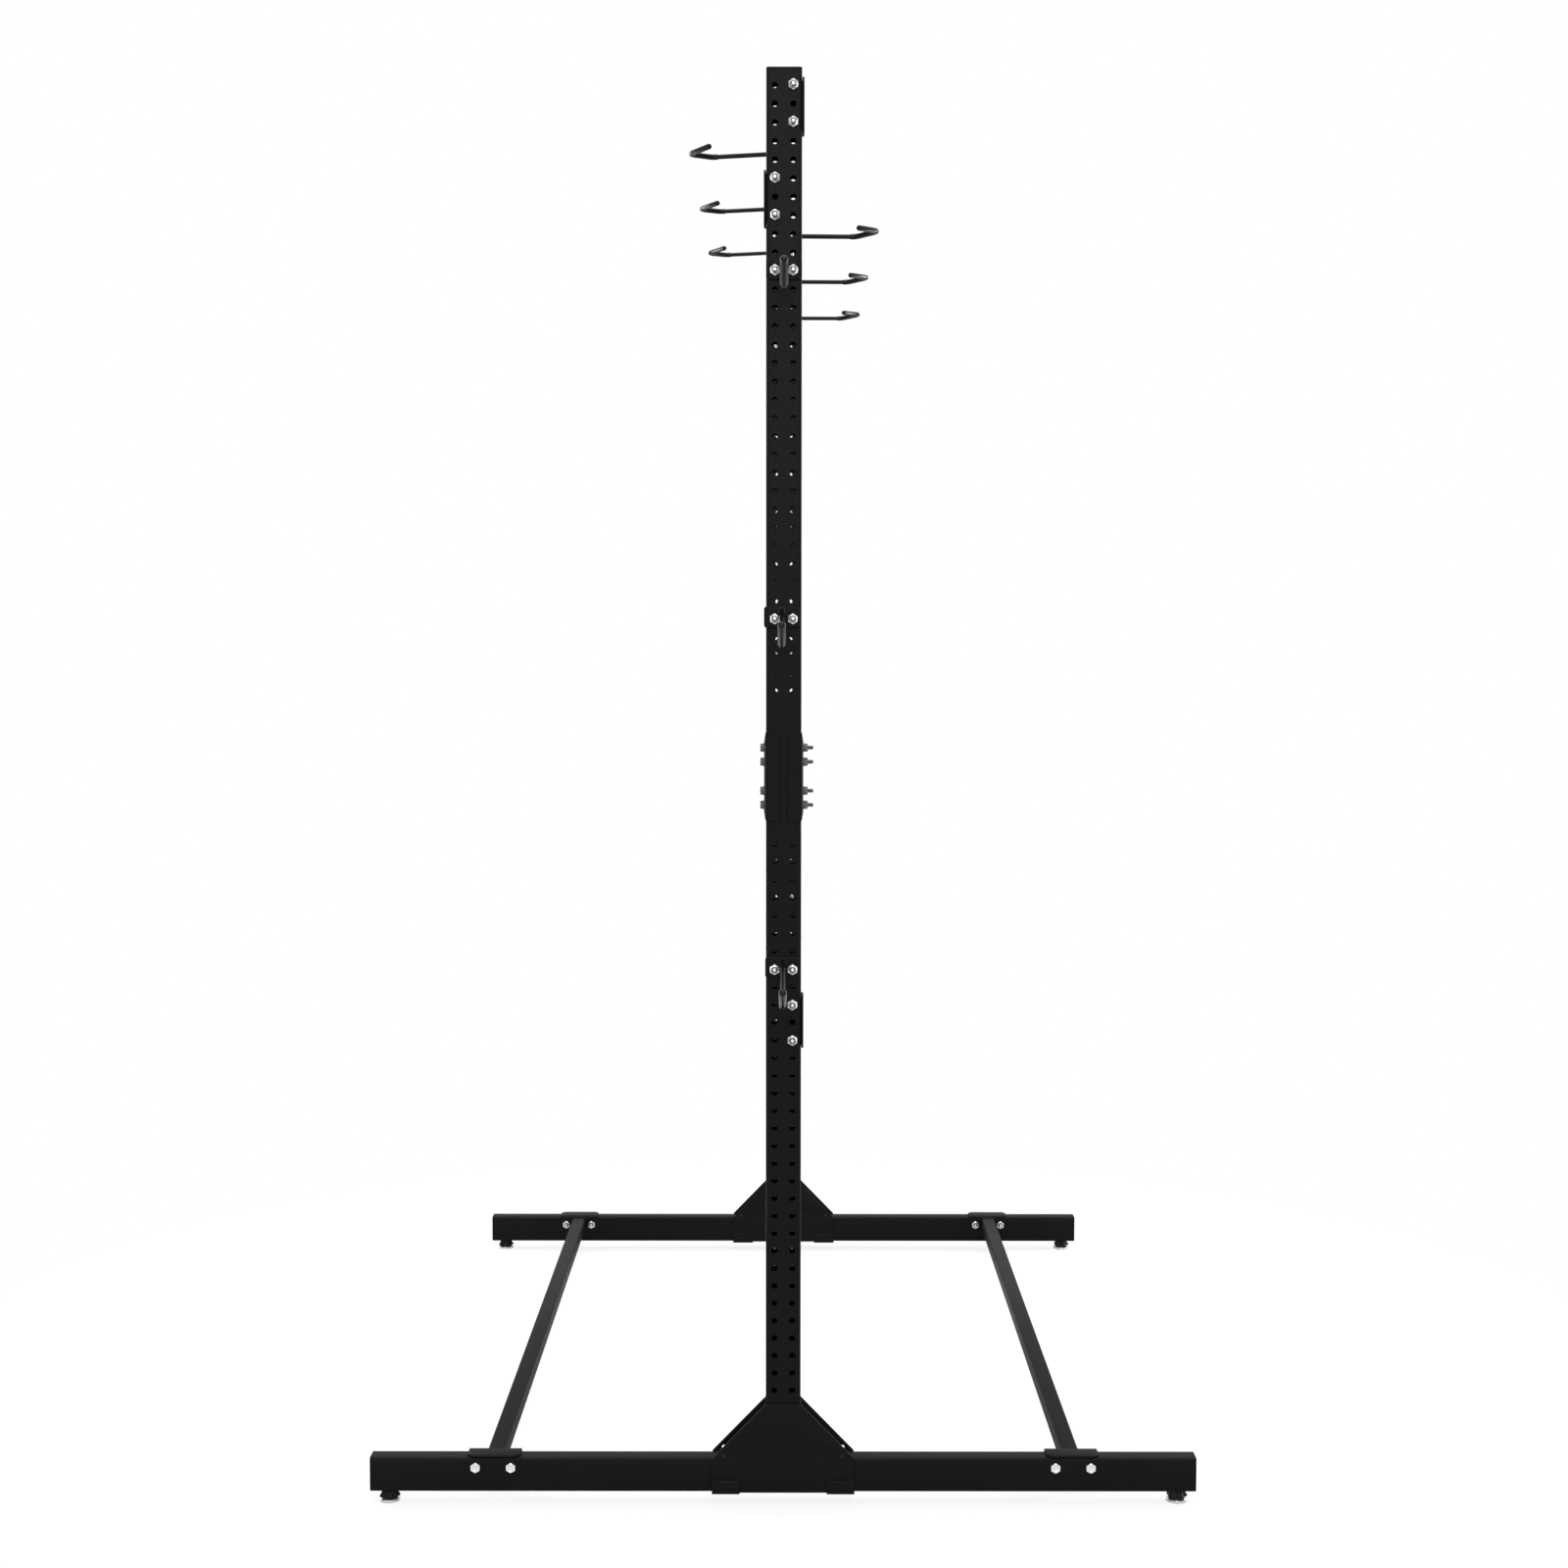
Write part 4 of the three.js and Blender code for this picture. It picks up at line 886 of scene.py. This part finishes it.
# The dark nylon ring of a lock nut
ring_nylon, nylon_mixer, nylon_shader = painted("lock_nylon", Roughness=0.6)
nylon_cloud = nylon_mixer.noise(900.0)
nylon_tone = nylon_mixer.blend(nylon_cloud, (0.006, 0.007, 0.010, 1.0), (0.014, 0.016, 0.022, 1.0))
nylon_mixer.feed(nylon_shader.inputs["Base Color"], nylon_tone)


def lock_nut(seat, axis, size):
    """The hexagon and rolled collar of a lock nut, and the ring inside the collar."""
    flat, high, bore = size["flats"] / 2, size["nut"], size["radius"]
    base = LOCK_HEXAGON_SHARE * high
    rings = [(0.95 * flat, base), (0.94 * flat, base + 0.2), (0.92 * flat, high - 0.9),
             (0.84 * flat, high - 0.15), (0.76 * flat, high), (0.70 * flat, high - 0.25),
             (0.70 * flat, high - 1.3), (bore * 0.9, high - 1.3)]
    body = trimmed_hexagon(seat, axis, size["flats"], rings)
    wide = 0.69 * flat - bore
    section = box_outline(wide, 0.8, 0.25, (bore + wide / 2, high - 0.85), 2)
    return body, ring_of(section, seat, axis)


def locked_bolt(head_seat, nut_seat, along, length, threads):
    """An M8 bolt with its lock nut, as the coats of one piece."""
    body, insert = lock_nut(nut_seat, along, M8)
    thread, flat_end = shank(head_seat, along, M8, length, threads)
    metal = joined(bolt_head(head_seat, along, M8), body, flat_end)
    return [(metal, zinc), (insert, ring_nylon), (thread, thread_zinc)]


for level in ("top", "middle", "lower"):
    for end, way in ENDS:
        face = face_y(f"upright_upper_{end}", way)
        for place in ("low", "high"):
            node = f"rail_bolt_{level}_{end}_{place}"
            x, _, z = extent(node)[2]
            seat_y = face_y(node, -way) + way * M8["head"]
            length = abs(face_y(node, way) - seat_y)
            coats = locked_bolt((x, seat_y, z), (x, face, z), (0, way, 0), length, RAIL_THREAD)
            piece(f"rail_screw_{level}_{end}_{place}", coats, node)

# Bike hooks
# A 7 mm rod is bent to hold a wheel's rim and welded to a small plate. Three plates are bolted to the left
# of the top rail, and three to the right of the middle one, turned over.
HOOK_SPACING = 420.0
HOOK_ROW_DROP = 8.0
HOOK_PLATE = (66.0, 34.0, 6.0)  # long, high and corner
HOOK_PLATE_FACES = (3.3, 6.3)  # from the middle of the stand
HOOK_BOLTS = 22.0  # either side of the hook
HOOK_BOLT_LENGTH = 20.0
HOOK_THREAD = 8.0
HOOK_NUT_FACE = 0.05  # from the middle of the stand
HOOK_ROD = 3.5
HOOK_WELD_MIDDLE = (1.1, -2.2)  # where the rod leaves its plate, along and up
HOOK_CORNERS = np.array([
    [0.0, 0.0, -2.1], [-108.6, 16.8, -4.3], [-141.8, -15.3, -6.8], [-110.1, -56.6, -4.1],
])
HOOK_RADII = [14.0, 11.0]
HOOK_SLEEVE = (3.6, 4.2)  # bore and outside radius
SLEEVE_CAP = 1.0
SLEEVE_LEAD = 8.0  # from the open end to the first bend's corner
SLEEVE_LIP = (0.15, 0.0, 0.35)  # from the open end to the rings of its rounded lip
SLEEVE_DOME = np.linspace(0, np.pi / 2, 7)
DOME_START = 2.0  # from the rod's end
WIRE_SIDES = 24
WIRE_STEPS = 8  # to a bend

# Black dipped vinyl: smooth and fairly glossy, with soft sags where the dip ran
sleeve_coat = finished("sleeve_vinyl", (120.0,), [0.0035] * 3, [0.0060] * 3, (0.10, 0.08), (0.00001, 0.4),
                       Specular_IOR_Level=0.20)
# Black enamel, glossier than the powder coat, with a slight waviness left by the dip
gloss = finished("hook_enamel", (160.0,), (0.0030, 0.0030, 0.0031), (0.0052, 0.0052, 0.0053), (0.10, 0.08),
                 (0.00001, 0.4), Specular_IOR_Level=0.22)


def hook_and_sleeve():
    """The rod on its plate with its weld, and the sleeve: up the bore from its blind end, over a rounded
    lip, along the outside, and over a domed tip whose rings follow a quarter ellipse."""
    wide, high, corner = HOOK_PLATE
    inner, outer = HOOK_PLATE_FACES
    plate = turned(slab(box_outline(wide, high, corner), -outer, -inner, 0.5), (2, 0, 1))
    way = unit(HOOK_CORNERS[1] - HOOK_CORNERS[0])
    corners = HOOK_CORNERS.copy()
    corners[0] += way * (inner + 1.0)
    points, ways = bent(corners, HOOK_RADII, WIRE_STEPS)
    bar = rod(points, ways, HOOK_ROD, (0, 0, 1), WIRE_SIDES)
    around = circle(HOOK_ROD + 0.5, HOOK_WELD_MIDDLE, WIRE_SIDES)[::-1]
    weld = closed_bead(around, -outer - 0.4, (2, 0, 1), 1.7, 2.2)
    corners[0] = corners[1] - way * SLEEVE_LEAD
    points, ways = bent(corners, HOOK_RADII, WIRE_STEPS)
    tip = points[-1] + ways[-1] * ((SLEEVE_CAP + DOME_START) * np.sin(SLEEVE_DOME) - DOME_START)[:, None]
    lip = points[0] + ways[0] * np.array(SLEEVE_LIP)[:, None]
    path = np.concatenate([points[::-1], lip, points[1:-1], tip])
    facing = np.concatenate([ways[::-1], 0 * lip + ways[0], ways[1:-1], 0 * tip + ways[-1]])
    bore, outside = HOOK_SLEEVE
    radius = np.concatenate([
        np.full(len(points), bore), [bore + SLEEVE_LIP[0], (bore + outside) / 2, outside],
        np.full(len(points) - 2, outside), outside * np.cos(SLEEVE_DOME),
    ])
    return joined(plate, bar, weld), rod(path, facing, radius, (0, 0, 1), WIRE_SIDES)


def over(shape, side, y, z):
    """A hook drawn for the left side of a rail (-1), put in its place, or turned over for the right (1)."""
    points, faces = shape
    return points * (-side, 1, -side) + (0.0, y, z), faces


hook, sleeve = hook_and_sleeve()
for hand, side, level in (("left", -1, "top"), ("right", 1, "middle")):
    _, middle_y, rail_z = extent(f"rail_{level}")[2]
    z = rail_z - HOOK_ROW_DROP
    for number in (1, 2, 3):
        y = middle_y + (number - 2) * HOOK_SPACING
        coats = [(over(hook, side, y, z), gloss)]
        piece(f"hook_{hand}_{number}", coats, f"bike_hook_{hand}_{number}")
        coats = [(over(sleeve, side, y, z), sleeve_coat)]
        piece(f"sleeve_{hand}_{number}", coats, f"hook_sleeve_{hand}_{number}")
        for place, step in (("near", -1), ("far", 1)):
            seat = (side * HOOK_PLATE_FACES[1], y + step * HOOK_BOLTS, z)
            nut_seat = (-side * HOOK_NUT_FACE, seat[1], z)
            coats = locked_bolt(seat, nut_seat, (-side, 0, 0), HOOK_BOLT_LENGTH, HOOK_THREAD)
            piece(f"hook_bolt_{hand}_{number}_{place}", coats)

# Gear hooks
# A 7 mm rod hangs from a plate on the front of the front upright, runs down and out, and turns up at its
# end into a thick sleeve. Two bolts go right through the upright, with their lock nuts on the plate.
GEAR_PLATE = (50.0, 30.0, 4.0)  # wide, high and corner
GEAR_PLATE_RAISE = 2.5
GEAR_PLATE_THICK = 3.0
GEAR_ROD = 3.5
GEAR_ROOT_RAISE = 12.0
GEAR_BELLY = (97.0, 38.0)  # out from the plate, and down
GEAR_TIP = (152.0, 9.0)
GEAR_BEND = 9.0
GEAR_SLEEVE = (3.6, 5.4)  # bore and outside radius
GEAR_SLEEVE_START = 6.0
GEAR_SLEEVE_CAP = 2.5
GEAR_BOLT_LENGTH = 45.0
GEAR_THREAD = 12.0

for number in (1, 2, 3):
    _, high, (shift, _, _) = extent(f"gear_hook_{number}")
    back = face_y("upright_upper_front", 1)
    z = high[2] - GEAR_PLATE_RAISE - GEAR_PLATE[1] / 2
    face = high[1] - GEAR_PLATE_THICK
    wide, tall, corner = GEAR_PLATE
    outline = box_outline(wide, tall, corner, (shift, z + GEAR_PLATE_RAISE))
    plate = turned(slab(outline, face, high[1], 0.5), (0, 2, 1))
    corners = np.array([
        [shift, face + 1.0, z + GEAR_ROOT_RAISE],
        [shift, face - GEAR_BELLY[0], z - GEAR_BELLY[1]],
        [shift, face - GEAR_TIP[0], z - GEAR_TIP[1]],
    ])
    points, ways = bent(corners, [GEAR_BEND], WIRE_STEPS)
    bar = rod(points, ways, GEAR_ROD, (1, 0, 0), WIRE_SIDES)
    around = circle(GEAR_ROD + 0.4, (shift, z + GEAR_ROOT_RAISE - 0.6), WIRE_SIDES)[::-1]
    weld = closed_bead(around, face - 0.3, (0, 2, 1), 1.5, 2.0)
    piece(f"gear_hook_rod_{number}", [(plate, coat), (joined(bar, weld), gloss)],
          f"gear_hook_{number}")
    way = unit(corners[2] - corners[1])
    first = corners[1] + way * GEAR_SLEEVE_START
    run = np.linalg.norm(corners[2] - first)
    bore, outside = GEAR_SLEEVE
    tip = run - DOME_START + (GEAR_SLEEVE_CAP + DOME_START) * np.sin(SLEEVE_DOME)
    along = np.concatenate([[run], SLEEVE_LIP, [1.0], tip])
    radius = np.concatenate([[bore, bore, (bore + outside) / 2, outside - SLEEVE_LIP[0], outside],
                             outside * np.cos(SLEEVE_DOME)])
    path = first + way * along[:, None]
    grip = rod(path, np.repeat(way[None], len(path), 0), radius, (1, 0, 0), 28)
    piece(f"gear_grip_{number}", [(grip, sleeve_coat)], f"gear_sleeve_{number}")
    for place, step in HANDS:
        x = step * COLUMN
        coats = locked_bolt((x, back, z), (x, face, z), (0, -1, 0), GEAR_BOLT_LENGTH, GEAR_THREAD)
        piece(f"gear_bolt_{number}_{place}", coats)
